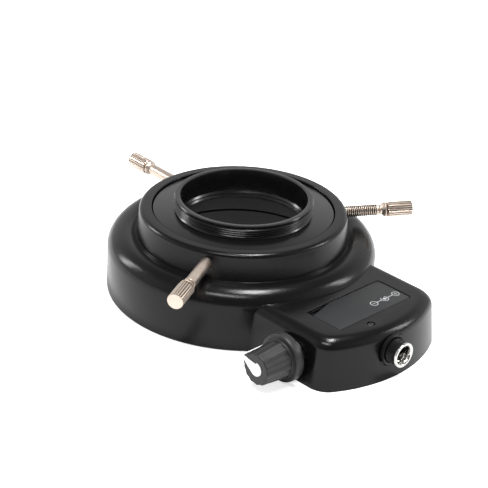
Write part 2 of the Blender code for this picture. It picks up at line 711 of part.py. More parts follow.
def make_cover():
    """Bottom cover of the control box with its screws in shallow counterbores."""
    plan = box_outline(BOX_RIM + FIT_GAP, BOX_DIVIDER_RADIUS + FIT_GAP)
    cover = loft("bottom_cover", ((plan, COVER_RECESS), (plan, COVER_TOP)))
    black_plastic(cover)
    builder = bmesh.new()
    head_top = COVER_RECESS + COVER_SCREW_SINK + COVER_SCREW_HEAD_HEIGHT
    hole = (
        (0.0, -OVERRUN),
        (COVER_SCREW_HEAD_RADIUS + FIT_GAP, -OVERRUN),
        (COVER_SCREW_HEAD_RADIUS + FIT_GAP, head_top + FIT_GAP),
        (COVER_SCREW_RADIUS + FIT_GAP, head_top + FIT_GAP),
        (COVER_SCREW_RADIUS + FIT_GAP, COVER_LEDGE_HEIGHT + OVERRUN),
        (0.0, COVER_LEDGE_HEIGHT + OVERRUN),
    )
    for place in COVER_SCREW_PLACES:
        add_turned(builder, hole, SCREW_STEPS, upright(place))
    cut(cover, mesh_object("cover_holes", builder))
    screw = screw_profile(
        COVER_SCREW_HEAD_RADIUS, COVER_SCREW_HEAD_HEIGHT, COVER_SCREW_RADIUS, COVER_SCREW_LENGTH)
    for number, (x, y) in enumerate(COVER_SCREW_PLACES, 1):
        place = Matrix.Translation((x, y, COVER_RECESS + COVER_SCREW_SINK))
        steel(turned(f"cover_screw_{number}", screw, SCREW_STEPS, place))


def make_light_ring():
    """Clear window, LED array and LED board, from the floor up."""
    window = rectangle(TUBE_RADIUS + FIT_GAP, WINDOW_POCKET_RADIUS - FIT_GAP,
                       WINDOW_RECESS, WINDOW_RECESS + WINDOW_THICKNESS)
    clear_plastic(turned("light_window", window, RING_STEPS))
    board = rectangle(CAVITY_INNER_RADIUS + FIT_GAP, CAVITY_OUTER_RADIUS - FIT_GAP,
                      LED_BOARD_HEIGHT, LED_BOARD_TOP)
    led_board = white_plastic(turned("led_board", board, RING_STEPS))
    strip_top = LED_BOARD_HEIGHT - FIT_GAP
    strip = rectangle(LED_ROW_RADIUS - LED_STRIP_MARGIN, LED_ROW_RADIUS + LED_ROW_SPACING + LED_STRIP_MARGIN,
                      strip_top - LED_STRIP_THICKNESS, strip_top)
    array = led_resin(turned("led_array", strip, RING_STEPS))
    leds = bmesh.new()
    dome = (
        (0.0, strip_top - LED_LENGTH),
        (LED_RADIUS * DOME_RADIUS_SHARE, strip_top - LED_LENGTH + LED_RADIUS * DOME_HEIGHT_SHARE),
        (LED_RADIUS, strip_top - LED_LENGTH + LED_RADIUS),
        (LED_RADIUS, strip_top - LED_STRIP_THICKNESS / 2),
        (0.0, strip_top - LED_STRIP_THICKNESS / 2),
    )
    for row in range(2):
        radius = LED_ROW_RADIUS + row * LED_ROW_SPACING
        for number in range(LED_ROW_COUNT):
            turn = math.tau * (number + row / 2) / LED_ROW_COUNT
            add_turned(leds, dome, LED_SIDES, upright((radius * math.cos(turn), radius * math.sin(turn))))
    join(array, mesh_object("led_domes", leds))
    head_holes = bmesh.new()
    shank_holes = bmesh.new()
    for place in LED_SCREW_PLACES:
        head_hole = peg_profile(
            SMALL_SCREW_HEAD_RADIUS + FIT_GAP, strip_top - OVERRUN, strip_top + OVERRUN)
        shank_hole = peg_profile(
            SMALL_SCREW_RADIUS + FIT_GAP, LED_BOARD_HEIGHT - OVERRUN, LED_BOARD_TOP + OVERRUN)
        add_turned(head_holes, head_hole, SCREW_STEPS, upright(place))
        add_turned(shank_holes, shank_hole, SCREW_STEPS, upright(place))
    cut(array, mesh_object("strip_holes", head_holes))
    cut(led_board, mesh_object("led_board_holes", shank_holes))
    make_board_screws("led_screw", LED_SCREW_PLACES, LED_BOARD_HEIGHT)


def make_board_screws(name, places, board_floor):
    """Small screws that hold a board against its bosses from below."""
    screw = screw_profile(
        SMALL_SCREW_HEAD_RADIUS, SMALL_SCREW_HEAD_HEIGHT, SMALL_SCREW_RADIUS, SMALL_SCREW_LENGTH)
    low = board_floor - FIT_GAP - SMALL_SCREW_HEAD_HEIGHT
    for number, (x, y) in enumerate(places, 1):
        steel(turned(f"{name}_{number}", screw, SCREW_STEPS, Matrix.Translation((x, y, low))))


def make_driver():
    """Driver board, its components and its screws."""
    board = block(
        "driver_board",
        (DRIVER_X - DRIVER_LENGTH / 2, DRIVER_X + DRIVER_LENGTH / 2),
        (DRIVER_START, DRIVER_END),
        (DRIVER_HEIGHT, DRIVER_TOP),
    )
    board_green(board)
    builder = bmesh.new()
    for place in DRIVER_SCREW_PLACES:
        hole = peg_profile(SMALL_SCREW_RADIUS + FIT_GAP, DRIVER_HEIGHT - OVERRUN, DRIVER_TOP + OVERRUN)
        add_turned(builder, hole, SCREW_STEPS, upright(place))
    cut(board, mesh_object("driver_holes", builder))
    make_board_screws("driver_screw", DRIVER_SCREW_PLACES, DRIVER_HEIGHT)
    floor = DRIVER_TOP + FIT_GAP
    can = peg_profile(CAPACITOR_RADIUS, floor, floor + CAPACITOR_HEIGHT)
    black_cable(turned("driver_capacitor", can, PIN_STEPS, upright((CAPACITOR_X, CAPACITOR_Y))))
    coil_top = floor + COIL_HEIGHT
    coil = (
        (0.0, floor),
        (COIL_RADIUS, floor),
        (COIL_RADIUS, floor + COIL_FLANGE),
        (COIL_WAIST_RADIUS, floor + COIL_FLANGE),
        (COIL_WAIST_RADIUS, coil_top - COIL_FLANGE),
        (COIL_RADIUS, coil_top - COIL_FLANGE),
        (COIL_RADIUS, coil_top),
        (0.0, coil_top),
    )
    brass(turned("driver_coil", coil, PIN_STEPS, upright((COIL_X, COIL_Y))))
    chip = block(
        "driver_chip",
        (CHIP_X - CHIP_LENGTH / 2, CHIP_X + CHIP_LENGTH / 2),
        (CHIP_Y - CHIP_WIDTH / 2, CHIP_Y + CHIP_WIDTH / 2),
        (floor, floor + CHIP_HEIGHT),
    )
    black_plastic(chip)


def make_adapter():
    """Flange with a V groove for the screws, and a collar with an outside thread."""
    flange_floor = ADAPTER_SEAT_HEIGHT + FIT_GAP
    groove_radius = ADAPTER_RADIUS - GROOVE_DEPTH
    thread_top = COLLAR_TOP - COLLAR_RIM_BEVEL
    profile = [
        (COLLAR_BORE_RADIUS, flange_floor + ADAPTER_FOOT_BEVEL),
        (COLLAR_BORE_RADIUS + ADAPTER_FOOT_BEVEL, flange_floor),
        (ADAPTER_RADIUS - ADAPTER_EDGE_BEVEL, flange_floor),
        (ADAPTER_RADIUS, flange_floor + ADAPTER_EDGE_BEVEL),
        (ADAPTER_RADIUS, SCREW_HEIGHT - GROOVE_MOUTH / 2),
        (groove_radius, SCREW_HEIGHT - GROOVE_FLOOR / 2),
        (groove_radius, SCREW_HEIGHT + GROOVE_FLOOR / 2),
        (ADAPTER_RADIUS, SCREW_HEIGHT + GROOVE_MOUTH / 2),
        (ADAPTER_RADIUS, ADAPTER_TOP - ADAPTER_EDGE_BEVEL),
        (ADAPTER_RADIUS - ADAPTER_EDGE_BEVEL, ADAPTER_TOP),
        (COLLAR_RADIUS - THREAD_DEPTH, ADAPTER_TOP),
    ]
    for number in range(THREAD_TURNS, 0, -1):
        crest = thread_top - number * THREAD_PITCH + THREAD_PITCH / 2
        profile.append((COLLAR_RADIUS, crest))
        profile.append((COLLAR_RADIUS - THREAD_DEPTH, crest + THREAD_PITCH / 2))
    profile += [
        (COLLAR_RADIUS - THREAD_DEPTH, COLLAR_TOP),
        (COLLAR_BORE_RADIUS + COLLAR_RIM_BEVEL, COLLAR_TOP),
        (COLLAR_BORE_RADIUS, COLLAR_TOP - COLLAR_RIM_BEVEL),
    ]
    black_anodised(turned("adapter_ring", profile, RING_STEPS))


def make_thumb_screw(number, turn, back_out):
    """Threaded insert in the neck, plain shank through it and knurled head on the shank."""
    insert = rectangle(SCREW_RADIUS + FIT_GAP, INSERT_RADIUS, SCREW_TIP_RING, SCREW_TIP_RING + INSERT_LENGTH)
    brass(turned(f"thread_insert_{number}", insert, PIN_STEPS, radial(turn)))
    tip = SCREW_TIP_RING + back_out
    shank = (
        (0.0, 0.0),
        (SCREW_RADIUS - SCREW_TIP_BEVEL, 0.0),
        (SCREW_RADIUS, SCREW_TIP_BEVEL),
        (SCREW_RADIUS, SCREW_SHANK_LENGTH),
        (SPIGOT_RADIUS, SCREW_SHANK_LENGTH),
        (SPIGOT_RADIUS, SCREW_SHANK_LENGTH + SPIGOT_LENGTH),
        (0.0, SCREW_SHANK_LENGTH + SPIGOT_LENGTH),
    )
    nickel(turned(f"thumb_screw_{number}_shank", shank, PIN_STEPS, radial(turn, tip)))
    knurl_start = SCREW_COLLAR_LENGTH + SCREW_NECK_WIDTH
    head_end = knurl_start + SCREW_HEAD_LENGTH
    head = (
        (0.0, SPIGOT_LENGTH),
        (SPIGOT_RADIUS + FIT_GAP, SPIGOT_LENGTH),
        (SPIGOT_RADIUS + FIT_GAP, 0.0),
        (SCREW_COLLAR_RADIUS - SCREW_COLLAR_BEVEL, 0.0),
        (SCREW_COLLAR_RADIUS, SCREW_COLLAR_BEVEL),
        (SCREW_COLLAR_RADIUS, SCREW_COLLAR_LENGTH),
        (SCREW_RADIUS, SCREW_COLLAR_LENGTH),
        (SCREW_RADIUS, knurl_start),
        (SCREW_HEAD_RADIUS - SCREW_HEAD_BEVEL, knurl_start),
        (SCREW_HEAD_RADIUS, knurl_start + SCREW_HEAD_BEVEL, 1.0),
        (SCREW_HEAD_RADIUS, head_end - SCREW_HEAD_BEVEL, 1.0),
        (SCREW_HEAD_RADIUS - SCREW_HEAD_BEVEL, head_end),
        (0.0, head_end),
    )
    place = radial(turn, tip + SCREW_SHANK_LENGTH + FIT_GAP)
    nickel(turned(f"thumb_screw_{number}_head", head, KNURL_TEETH * 2, place, KNURL_TEETH, KNURL_DEPTH))


def make_dimmer_fixings():
    """Potentiometer case inside the wall, with its bushing, washer and nut."""
    case = block(
        "dimmer_case",
        (DIMMER_X - DIMMER_CASE_WIDTH / 2, DIMMER_X + DIMMER_CASE_WIDTH / 2),
        (-DIMMER_CASE_FACE, DIMMER_CASE_DEPTH - DIMMER_CASE_FACE),
        (DIMMER_FLOOR, DIMMER_FLOOR + DIMMER_CASE_HEIGHT),
    )
    board_green(case)
    bore = SHAFT_NECK_RADIUS + FIT_GAP
    flange_front = DIMMER_WALL - FIT_GAP
    nut_front = DIMMER_SEAT + FIT_GAP + WASHER_THICKNESS + FIT_GAP + DIMMER_NUT_THICKNESS
    bushing = (
        (bore, flange_front - BUSHING_FLANGE_THICKNESS),
        (BUSHING_FLANGE_RADIUS, flange_front - BUSHING_FLANGE_THICKNESS),
        (BUSHING_FLANGE_RADIUS, flange_front),
        (BUSHING_RADIUS, flange_front),
        (BUSHING_RADIUS, nut_front),
        (bore, nut_front),
    )
    brass(turned("dimmer_bushing", bushing, PIN_STEPS, DIMMER_PLACE))
    washer_low = DIMMER_SEAT + FIT_GAP
    nut_low = washer_low + WASHER_THICKNESS + FIT_GAP
    hole = BUSHING_RADIUS + FIT_GAP
    washer = rectangle(hole, WASHER_RADIUS, washer_low, washer_low + WASHER_THICKNESS)
    steel(turned("dimmer_washer", washer, PIN_STEPS, DIMMER_PLACE))
    nut = rectangle(hole, DIMMER_NUT_RADIUS, nut_low, nut_low + DIMMER_NUT_THICKNESS)
    steel(turned("dimmer_nut", nut, PIN_STEPS, DIMMER_PLACE))
    return nut_front


def pointer_outline(margin):
    """Teardrop in the knob's plane: round end low, beak at the rim, pointing along +X."""
    tip = KNOB_FACE_RADIUS + margin
    half_line = POINTER_LINE_WIDTH / 2 + margin
    end_radius = POINTER_END_RADIUS + margin
    points = [(tip, half_line)]
    points += arc(POINTER_END_REACH, POINTER_END_DROP, end_radius, POINTER_ARC_START, POINTER_ARC_END,
                  POINTER_ARC_STEPS)
    points.append((tip, -half_line))
    return points


def make_dimmer_knob(bushing_front):
    """Fluted knob on the turning shaft, with an inlaid pointer that runs down its side."""
    shaft_low = DIMMER_CASE_FACE + FIT_GAP
    shaft_shoulder = bushing_front + FIT_GAP
    shaft_end = shaft_shoulder + SHAFT_GRIP
    shaft = (
        (0.0, shaft_low),
        (SHAFT_NECK_RADIUS, shaft_low),
        (SHAFT_NECK_RADIUS, shaft_shoulder),
        (SHAFT_RADIUS, shaft_shoulder),
        (SHAFT_RADIUS, shaft_end),
        (0.0, shaft_end),
    )
    steel(turned("dimmer_shaft", shaft, PIN_STEPS, DIMMER_PLACE))
    face = KNOB_BACK + KNOB_LENGTH
    skirt_front = KNOB_BACK + KNOB_SKIRT_LENGTH
    foot_front = skirt_front + KNOB_FOOT_LENGTH
    bore = SHAFT_RADIUS + FIT_GAP
    hollow_end = KNOB_BACK + KNOB_HOLLOW_DEPTH
    profile = (
        (0.0, shaft_end + FIT_GAP),
        (bore, shaft_end + FIT_GAP),
        (bore, hollow_end),
        (KNOB_HOLLOW_RADIUS, hollow_end),
        (KNOB_HOLLOW_RADIUS, KNOB_BACK),
        (KNOB_SKIRT_RADIUS, KNOB_BACK),
        (KNOB_SKIRT_FRONT_RADIUS, skirt_front),
        (KNOB_FOOT_RADIUS, skirt_front),
        (KNOB_FOOT_RADIUS, foot_front),
        (KNOB_BODY_RADIUS, foot_front, 1.0),
        (KNOB_FACE_RADIUS, face - KNOB_ROUND, 1.0),
        (KNOB_FACE_RADIUS - KNOB_ROUND, face),
        (0.0, face),
    )
    knob = turned(
        "dimmer_knob", profile, KNOB_FLUTES * KNOB_FLUTE_STEPS, DIMMER_PLACE, KNOB_FLUTES, KNOB_FLUTE_DEPTH)
    knob_plastic(knob)
    aim = DIMMER_PLACE @ Matrix.Rotation(POINTER_TURN, 4, "Z")
    inlay_floor = face + POINTER_PROUD - POINTER_THICKNESS
    line_back = face - POINTER_LINE_LENGTH
    line_floor = KNOB_FACE_RADIUS - POINTER_THICKNESS
    line_top = KNOB_BODY_RADIUS + POINTER_PROUD
    half_line = POINTER_LINE_WIDTH / 2
    plan = pointer_outline(0.0)
    pointer = loft("knob_pointer", ((plan, inlay_floor), (plan, face + POINTER_PROUD)), aim)
    white_plastic(pointer)
    line = block(
        "pointer_line", (line_floor, line_top), (-half_line, half_line), (line_back, face + POINTER_PROUD), aim)
    join(pointer, line)
    wide_plan = pointer_outline(FIT_GAP)
    wide_line = half_line + FIT_GAP
    inlay_cut = loft("inlay_cut", ((wide_plan, inlay_floor - FIT_GAP), (wide_plan, face + OVERRUN)), aim)
    line_cut = block("line_cut", (line_floor - FIT_GAP, line_top + OVERRUN), (-wide_line, wide_line),
                     (line_back - FIT_GAP, face + OVERRUN), aim)
    cut(knob, inlay_cut)
    cut(knob, line_cut)


def make_socket():
    """Panel socket: threaded barrel and case, bright sleeve, centre pin and nut."""
    flange = SOCKET_WALL - FIT_GAP
    barrel_end = SOCKET_FRONT - SOCKET_LIP_THICKNESS - FIT_GAP
    floor_front = SOCKET_REAR + SOCKET_FLOOR
    pin_hole = SOCKET_PIN_RADIUS + FIT_GAP
    sleeve_hole = SOCKET_SLEEVE_RADIUS + FIT_GAP
    body = (
        (pin_hole, SOCKET_REAR),
        (SOCKET_CASE_RADIUS, SOCKET_REAR),
        (SOCKET_CASE_RADIUS, flange - SOCKET_FLANGE_THICKNESS),
        (SOCKET_FLANGE_RADIUS, flange - SOCKET_FLANGE_THICKNESS),
        (SOCKET_FLANGE_RADIUS, flange),
        (SOCKET_BARREL_RADIUS, flange),
        (SOCKET_BARREL_RADIUS, barrel_end),
        (sleeve_hole, barrel_end),
        (sleeve_hole, floor_front),
        (pin_hole, floor_front),
    )
    black_plastic(turned("socket_body", body, SOCKET_STEPS, SOCKET_PLACE))
    lip_back = SOCKET_FRONT - SOCKET_LIP_THICKNESS
    mouth_depth = SOCKET_MOUTH_RADIUS - PLUG_CLEAR_RADIUS
    sleeve = (
        (PLUG_CLEAR_RADIUS, SOCKET_FRONT - SOCKET_SLEEVE_DEPTH),
        (SOCKET_SLEEVE_RADIUS, SOCKET_FRONT - SOCKET_SLEEVE_DEPTH),
        (SOCKET_SLEEVE_RADIUS, lip_back),
        (SOCKET_LIP_RADIUS, lip_back),
        (SOCKET_LIP_RADIUS, SOCKET_FRONT),
        (SOCKET_MOUTH_RADIUS, SOCKET_FRONT),
        (PLUG_CLEAR_RADIUS, SOCKET_FRONT - mouth_depth),
    )
    nickel(turned("socket_sleeve", sleeve, SOCKET_STEPS, SOCKET_PLACE))
    pin_low = SOCKET_REAR - SOCKET_PIN_TAIL
    pin = peg_profile(SOCKET_PIN_RADIUS, pin_low, SOCKET_FRONT - SOCKET_PIN_SINK)
    nickel(turned("socket_pin", pin, PIN_STEPS, SOCKET_PLACE))
    nut_low = SOCKET_SEAT + FIT_GAP
    nut = rectangle(
        SOCKET_BARREL_RADIUS + FIT_GAP, SOCKET_NUT_RADIUS, nut_low, nut_low + SOCKET_NUT_THICKNESS)
    black_anodised(turned("socket_nut", nut, SOCKET_STEPS, SOCKET_PLACE))


def make_roof_details():
    """Bare plate in the roof's recess, and the small sunk screw beside it."""
    low_x = PLATE_X - PLATE_LENGTH / 2 + FIT_GAP
    high_x = PLATE_X + PLATE_LENGTH / 2 - FIT_GAP
    low_y = PLATE_Y - PLATE_WIDTH / 2 + FIT_GAP
    high_y = PLATE_Y + PLATE_WIDTH / 2 - FIT_GAP
    corner = PLATE_CORNER - FIT_GAP
    outline = [
        (low_x + PLATE_CLIP_WIDTH, low_y),
        (high_x - corner, low_y),
        (high_x, low_y + corner),
        (high_x, high_y - corner),
        (high_x - corner, high_y),
        (low_x + corner, high_y),
        (low_x, high_y - corner),
        (low_x, low_y + PLATE_CLIP_LENGTH),
    ]
    low = BOX_HEIGHT - PLATE_RECESS + FIT_GAP
    black_plastic(loft("label_plate", ((outline, low), (outline, low + PLATE_THICKNESS))))
    head_low = BOX_HEIGHT - ROOF_SCREW_SINK + FIT_GAP
    head_radius = ROOF_SCREW_HOLE_RADIUS - FIT_GAP
    screw = (
        (0.0, head_low - ROOF_SCREW_LENGTH),
        (ROOF_SCREW_RADIUS, head_low - ROOF_SCREW_LENGTH),
        (ROOF_SCREW_RADIUS, head_low),
        (head_radius, head_low),
        (head_radius, head_low + ROOF_SCREW_HEAD_HEIGHT),
        (0.0, head_low + ROOF_SCREW_HEAD_HEIGHT),
    )
    steel(turned("roof_screw", screw, SCREW_STEPS, upright((ROOF_SCREW_X, ROOF_SCREW_Y))))


def wire(name, points):
    """Round wire along a path in one upright plane, mitred at its bends."""
    builder = bmesh.new()
    path = [Vector(point) for point in points]
    span = path[-1] - path[0]
    side = Vector((span.y, -span.x, 0.0)).normalized()
    rings = []
    for index, point in enumerate(path):
        before = path[max(index - 1, 0)]
        after = path[min(index + 1, len(path) - 1)]
        back = (point - before) if index > 0 else (after - point)
        ahead = (after - point) if index < len(path) - 1 else back
        back = back.normalized()
        ahead = ahead.normalized()
        tangent = (back + ahead).normalized()
        up = side.cross(tangent) / tangent.dot(ahead)
        ring = []
        for step in range(WIRE_SIDES):
            turn = math.tau * step / WIRE_SIDES
            offset = side * math.cos(turn) + up * math.sin(turn)
            ring.append(builder.verts.new(point + WIRE_RADIUS * offset))
        rings.append(ring)
    builder.faces.new(rings[0])
    builder.faces.new(rings[-1])
    for low, high in zip(rings, rings[1:]):
        for step in range(WIRE_SIDES):
            after = (step + 1) % WIRE_SIDES
            builder.faces.new((low[step], low[after], high[after], high[step]))
    return mesh_object(name, builder)


def make_wires():
    """Supply wires from the socket to the driver board and from there to the LED board."""
    low = LED_BOARD_TOP + FIT_GAP
    end = DRIVER_TOP + FIT_GAP
    for name, paint, y in (("led_wire_red", red_cable, WIRE_SPACING / 2),
                           ("led_wire_black", black_cable, -WIRE_SPACING / 2)):
        path = (
            (LED_WIRE_START, y, low),
            (LED_WIRE_START, y, LED_WIRE_HEIGHT - WIRE_BEND),
            (LED_WIRE_START + WIRE_BEND, y, LED_WIRE_HEIGHT),
            (LED_WIRE_END - WIRE_BEND, y, LED_WIRE_HEIGHT),
            (LED_WIRE_END, y, LED_WIRE_HEIGHT - WIRE_BEND),
            (LED_WIRE_END, y, end),
        )
        paint(wire(name, path))
    starts = (
        ("socket_wire_red", red_cable, SOCKET_Y, SOCKET_REAR - SOCKET_PIN_TAIL - FIT_GAP),
        ("socket_wire_black", black_cable, SOCKET_Y - WIRE_SPACING, SOCKET_REAR - FIT_GAP),
    )
    for name, paint, y, start in starts:
        path = (
            (start, y, SOCKET_HEIGHT),
            (SOCKET_WIRE_X + WIRE_BEND / 2, y, SOCKET_HEIGHT),
            (SOCKET_WIRE_X, y, SOCKET_HEIGHT - WIRE_BEND / 2),
            (SOCKET_WIRE_X, y, end),
        )
        paint(wire(name, path))


def centre_on_floor():
    """Moves everything so that the middle of the bounding box's floor is the origin."""
    bpy.context.view_layer.update()
    graph = bpy.context.evaluated_depsgraph_get()
    points = []
    for item in bpy.data.objects:
        if not item.hide_render:
            shape = item.evaluated_get(graph)
            points += [shape.matrix_world @ vertex.co for vertex in shape.data.vertices]
    middle_x = (min(p.x for p in points) + max(p.x for p in points)) / 2
    middle_y = (min(p.y for p in points) + max(p.y for p in points)) / 2
    shift = Matrix.Translation((-middle_x, -middle_y, -min(p.z for p in points)))
    for item in bpy.data.objects:
        item.matrix_world = shift @ item.matrix_world


def main():
    clear_scene()
    make_housing()
    make_cover()
    make_light_ring()
    make_driver()
    make_adapter()
    for number, (turn, share) in enumerate(zip(SCREW_TURNS, SCREW_BACK_OUT_SHARES), 1):
        make_thumb_screw(number, turn, SCREW_BACK_OUT * share)
    make_dimmer_knob(make_dimmer_fixings())
    make_socket()
    make_roof_details()
    make_wires()
    centre_on_floor()


main()
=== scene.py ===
import math

import bmesh
import bpy
from mathutils import Matrix, Vector


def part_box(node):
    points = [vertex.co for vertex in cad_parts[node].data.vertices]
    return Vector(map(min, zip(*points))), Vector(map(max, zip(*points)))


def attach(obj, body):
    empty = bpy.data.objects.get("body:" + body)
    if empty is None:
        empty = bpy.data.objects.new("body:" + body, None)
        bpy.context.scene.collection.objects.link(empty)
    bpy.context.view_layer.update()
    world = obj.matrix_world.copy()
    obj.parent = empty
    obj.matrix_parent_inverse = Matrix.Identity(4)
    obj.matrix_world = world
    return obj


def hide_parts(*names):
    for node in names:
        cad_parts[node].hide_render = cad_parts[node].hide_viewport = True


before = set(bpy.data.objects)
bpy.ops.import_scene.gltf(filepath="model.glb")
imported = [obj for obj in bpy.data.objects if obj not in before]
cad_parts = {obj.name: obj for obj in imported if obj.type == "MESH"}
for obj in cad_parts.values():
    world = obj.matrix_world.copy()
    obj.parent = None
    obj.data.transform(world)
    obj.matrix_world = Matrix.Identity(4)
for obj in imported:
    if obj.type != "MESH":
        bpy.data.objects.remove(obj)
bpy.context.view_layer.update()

MM = 0.001
TURN = 2 * math.pi

# Camera and studio.
# The photograph looks down on the light at about 27 degrees with a long lens, from the corner
# between the dimmer's side and the box's curved end, a little tilted, on a white table.
ring_low, ring_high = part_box("adapter_ring")
ring_x = (ring_low[0] + ring_high[0]) / 2
ring_y = (ring_low[1] + ring_high[1]) / 2
CAMERA_DISTANCE = 528.0 * MM
CAMERA_RISE = math.radians(28.528)
CAMERA_TILT = math.radians(27.026)
CAMERA_PAN = math.radians(0.101)
CAMERA_ROLL = math.radians(3.056)
CAMERA_SIDE = math.radians(45.0)
LENS = 110.656

camera_data = bpy.data.cameras.new("photo_camera")
camera_data.sensor_width = 36.0
camera_data.lens = LENS
camera_data.clip_end = 20.0
camera_data.clip_start = 0.01
camera = bpy.data.objects.new("photo_camera", camera_data)
bpy.context.collection.objects.link(camera)
stand = Vector((0.0, -CAMERA_DISTANCE * math.cos(CAMERA_RISE), CAMERA_DISTANCE * math.sin(CAMERA_RISE)))
aim = Vector((math.sin(CAMERA_PAN) * math.cos(CAMERA_TILT), math.cos(CAMERA_PAN) * math.cos(CAMERA_TILT),
              -math.sin(CAMERA_TILT)))
level = aim.cross(Vector((0.0, 0.0, 1.0))).normalized()
lift = level.cross(aim)
across = math.cos(CAMERA_ROLL) * level + math.sin(CAMERA_ROLL) * lift
upward = math.cos(CAMERA_ROLL) * lift - math.sin(CAMERA_ROLL) * level
pose = Matrix((across, upward, -aim)).transposed().to_4x4()
pose.translation = stand
studio_turn = Matrix.Rotation(CAMERA_SIDE, 4, "Z")
camera.matrix_world = Matrix.Translation((ring_x, ring_y, 0.0)) @ studio_turn @ pose
bpy.context.scene.camera = camera
bpy.context.scene.view_settings.view_transform = "Standard"


def linear(code, alpha=1.0):
    """Turns a six-digit sRGB hex value to a linear colour."""
    shares = [int(code[i:i + 2], 16) / 255 for i in (0, 2, 4)]
    return (*[s / 12.92 if s <= 0.04045 else ((s + 0.055) / 1.055) ** 2.4 for s in shares], alpha)


def add_node(tree, kind, settings=None, **links):
    """Adds a node, sets its properties and input values, and links the outputs that are given."""
    item = tree.nodes.new(kind)
    for key, value in (settings or {}).items():
        if isinstance(key, int) or key in item.inputs.keys():
            item.inputs[key].default_value = value
        else:
            setattr(item, key, value)
    for key, source in links.items():
        tree.links.new(source, item.inputs[key.replace("_", " ")])
    return item


def new_material(name):
    """A node material with its Principled shader."""
    material = bpy.data.materials.new(name)
    material.use_nodes = True
    return material, material.node_tree, material.node_tree.nodes["Principled BSDF"]


def lamp(name, place, target, length, breadth, watts):
    """A soft box that looks at its target from that place, in metres from the ring's axis."""
    data = bpy.data.lights.new(name, "AREA")
    data.shape = "RECTANGLE"
    data.size = length
    data.size_y = breadth
    data.energy = watts
    item = bpy.data.objects.new(name, data)
    bpy.context.collection.objects.link(item)
    spot = studio_turn @ Vector(place) + Vector((ring_x, ring_y, 0.0))
    goal = studio_turn @ Vector(target) + Vector((ring_x, ring_y, 0.0))
    item.matrix_world = Matrix.Translation(spot) @ (goal - spot).to_track_quat("-Z", "Y").to_matrix().to_4x4()


RING_MIDDLE = (0.0, 0.0, 0.02)
BOX_SIDE = (0.05, -0.02, 0.02)
lamp("top_box", (0.1, 0.0, 0.95), RING_MIDDLE, 0.36, 0.14, 9.5)
lamp("left_wall", (-0.8, 0.3, 0.35), RING_MIDDLE, 0.12, 0.4, 2.6)
lamp("right_wall", (0.85, 0.1, 0.45), BOX_SIDE, 0.12, 0.4, 2.6)
lamp("front_fill", (-0.15, -0.48, 0.85), RING_MIDDLE, 0.42, 0.1, 3.4)

# Shiny pieces mirror a room that is bright at the sides, dim overhead and dim behind the camera.
# Matt pieces get an even light from it, and what the camera sees past the light is white.
SIDE_GLOW = 0.85
TOP_GLOW = 0.22
BACK_GLOW = 0.22
EVEN_GLOW = 0.42
FROM_CAMERA = (-0.707, 0.707, 0.0)
world = bpy.data.worlds.new("studio_air")
bpy.context.scene.world = world
world.use_nodes = True
air = world.node_tree
backdrop = air.nodes["Background"]
backdrop.inputs["Strength"].default_value = 1.0


def either(tree, *outputs):
    """The largest of several outputs."""
    result = outputs[0]
    for output in outputs[1:]:
        step = add_node(tree, "ShaderNodeMath", {"operation": "MAXIMUM"})
        tree.links.new(result, step.inputs[0])
        tree.links.new(output, step.inputs[1])
        result = step.outputs[0]
    return result


rays = add_node(air, "ShaderNodeLightPath")
direction = add_node(air, "ShaderNodeTexCoord")
climbing = add_node(air, "ShaderNodeSeparateXYZ", Vector=direction.outputs["Generated"])
mirrored = add_node(air, "ShaderNodeMapRange", {1: 0.5, 2: 0.8, 3: SIDE_GLOW, 4: TOP_GLOW},
                    Value=climbing.outputs["Z"])
beyond = add_node(air, "ShaderNodeVectorMath", {"operation": "DOT_PRODUCT", 1: FROM_CAMERA})
air.links.new(direction.outputs["Generated"], beyond.inputs[0])
room = add_node(air, "ShaderNodeMapRange", {1: -0.8, 2: -0.2, 3: BACK_GLOW, 4: 1.0},
                Value=beyond.outputs["Value"])
seen = add_node(air, "ShaderNodeMath", {"operation": "MULTIPLY"})
air.links.new(mirrored.outputs[0], seen.inputs[0])
air.links.new(room.outputs[0], seen.inputs[1])
soft = add_node(air, "ShaderNodeMix", {"data_type": "FLOAT", 2: EVEN_GLOW},
                Factor=rays.outputs["Is Glossy Ray"])
air.links.new(seen.outputs[0], soft.inputs[3])
sky = add_node(air, "ShaderNodeMix", {"data_type": "FLOAT", 3: 1.0},
               Factor=either(air, rays.outputs["Is Camera Ray"], rays.outputs["Is Transmission Ray"]))
air.links.new(soft.outputs[0], sky.inputs[2])
air.links.new(sky.outputs[0], backdrop.inputs["Color"])

bpy.ops.object.select_all(action="DESELECT")
bpy.ops.mesh.primitive_plane_add(size=6.0, location=(ring_x, ring_y, -0.1 * MM))
table = bpy.context.object
table.name = "white_table"

# White card, matt. It glows where it is seen straight or through clear pieces, so that it stays
# white, and it is clear from below.
table_paint, tree, shader = new_material("white_card")
shader.inputs["Base Color"].default_value = linear("f4f4f4")
shader.inputs["Roughness"].default_value = 0.9
shader.inputs["Specular IOR Level"].default_value = 0.2
glow = add_node(tree, "ShaderNodeEmission", {"Color": (1.0, 1.0, 1.0, 1.0), "Strength": 0.62})
card_sum = add_node(tree, "ShaderNodeAddShader")
tree.links.new(shader.outputs[0], card_sum.inputs[0])
tree.links.new(glow.outputs[0], card_sum.inputs[1])
card_mix = add_node(tree, "ShaderNodeMixShader")
rays = add_node(tree, "ShaderNodeLightPath")
seen_straight = either(tree, rays.outputs["Is Camera Ray"], rays.outputs["Is Transmission Ray"])
tree.links.new(seen_straight, card_mix.inputs[0])
tree.links.new(shader.outputs[0], card_mix.inputs[1])
tree.links.new(card_sum.outputs[0], card_mix.inputs[2])
side = add_node(tree, "ShaderNodeNewGeometry")
clear = add_node(tree, "ShaderNodeBsdfTransparent")
card_sides = add_node(tree, "ShaderNodeMixShader")
tree.links.new(side.outputs["Backfacing"], card_sides.inputs[0])
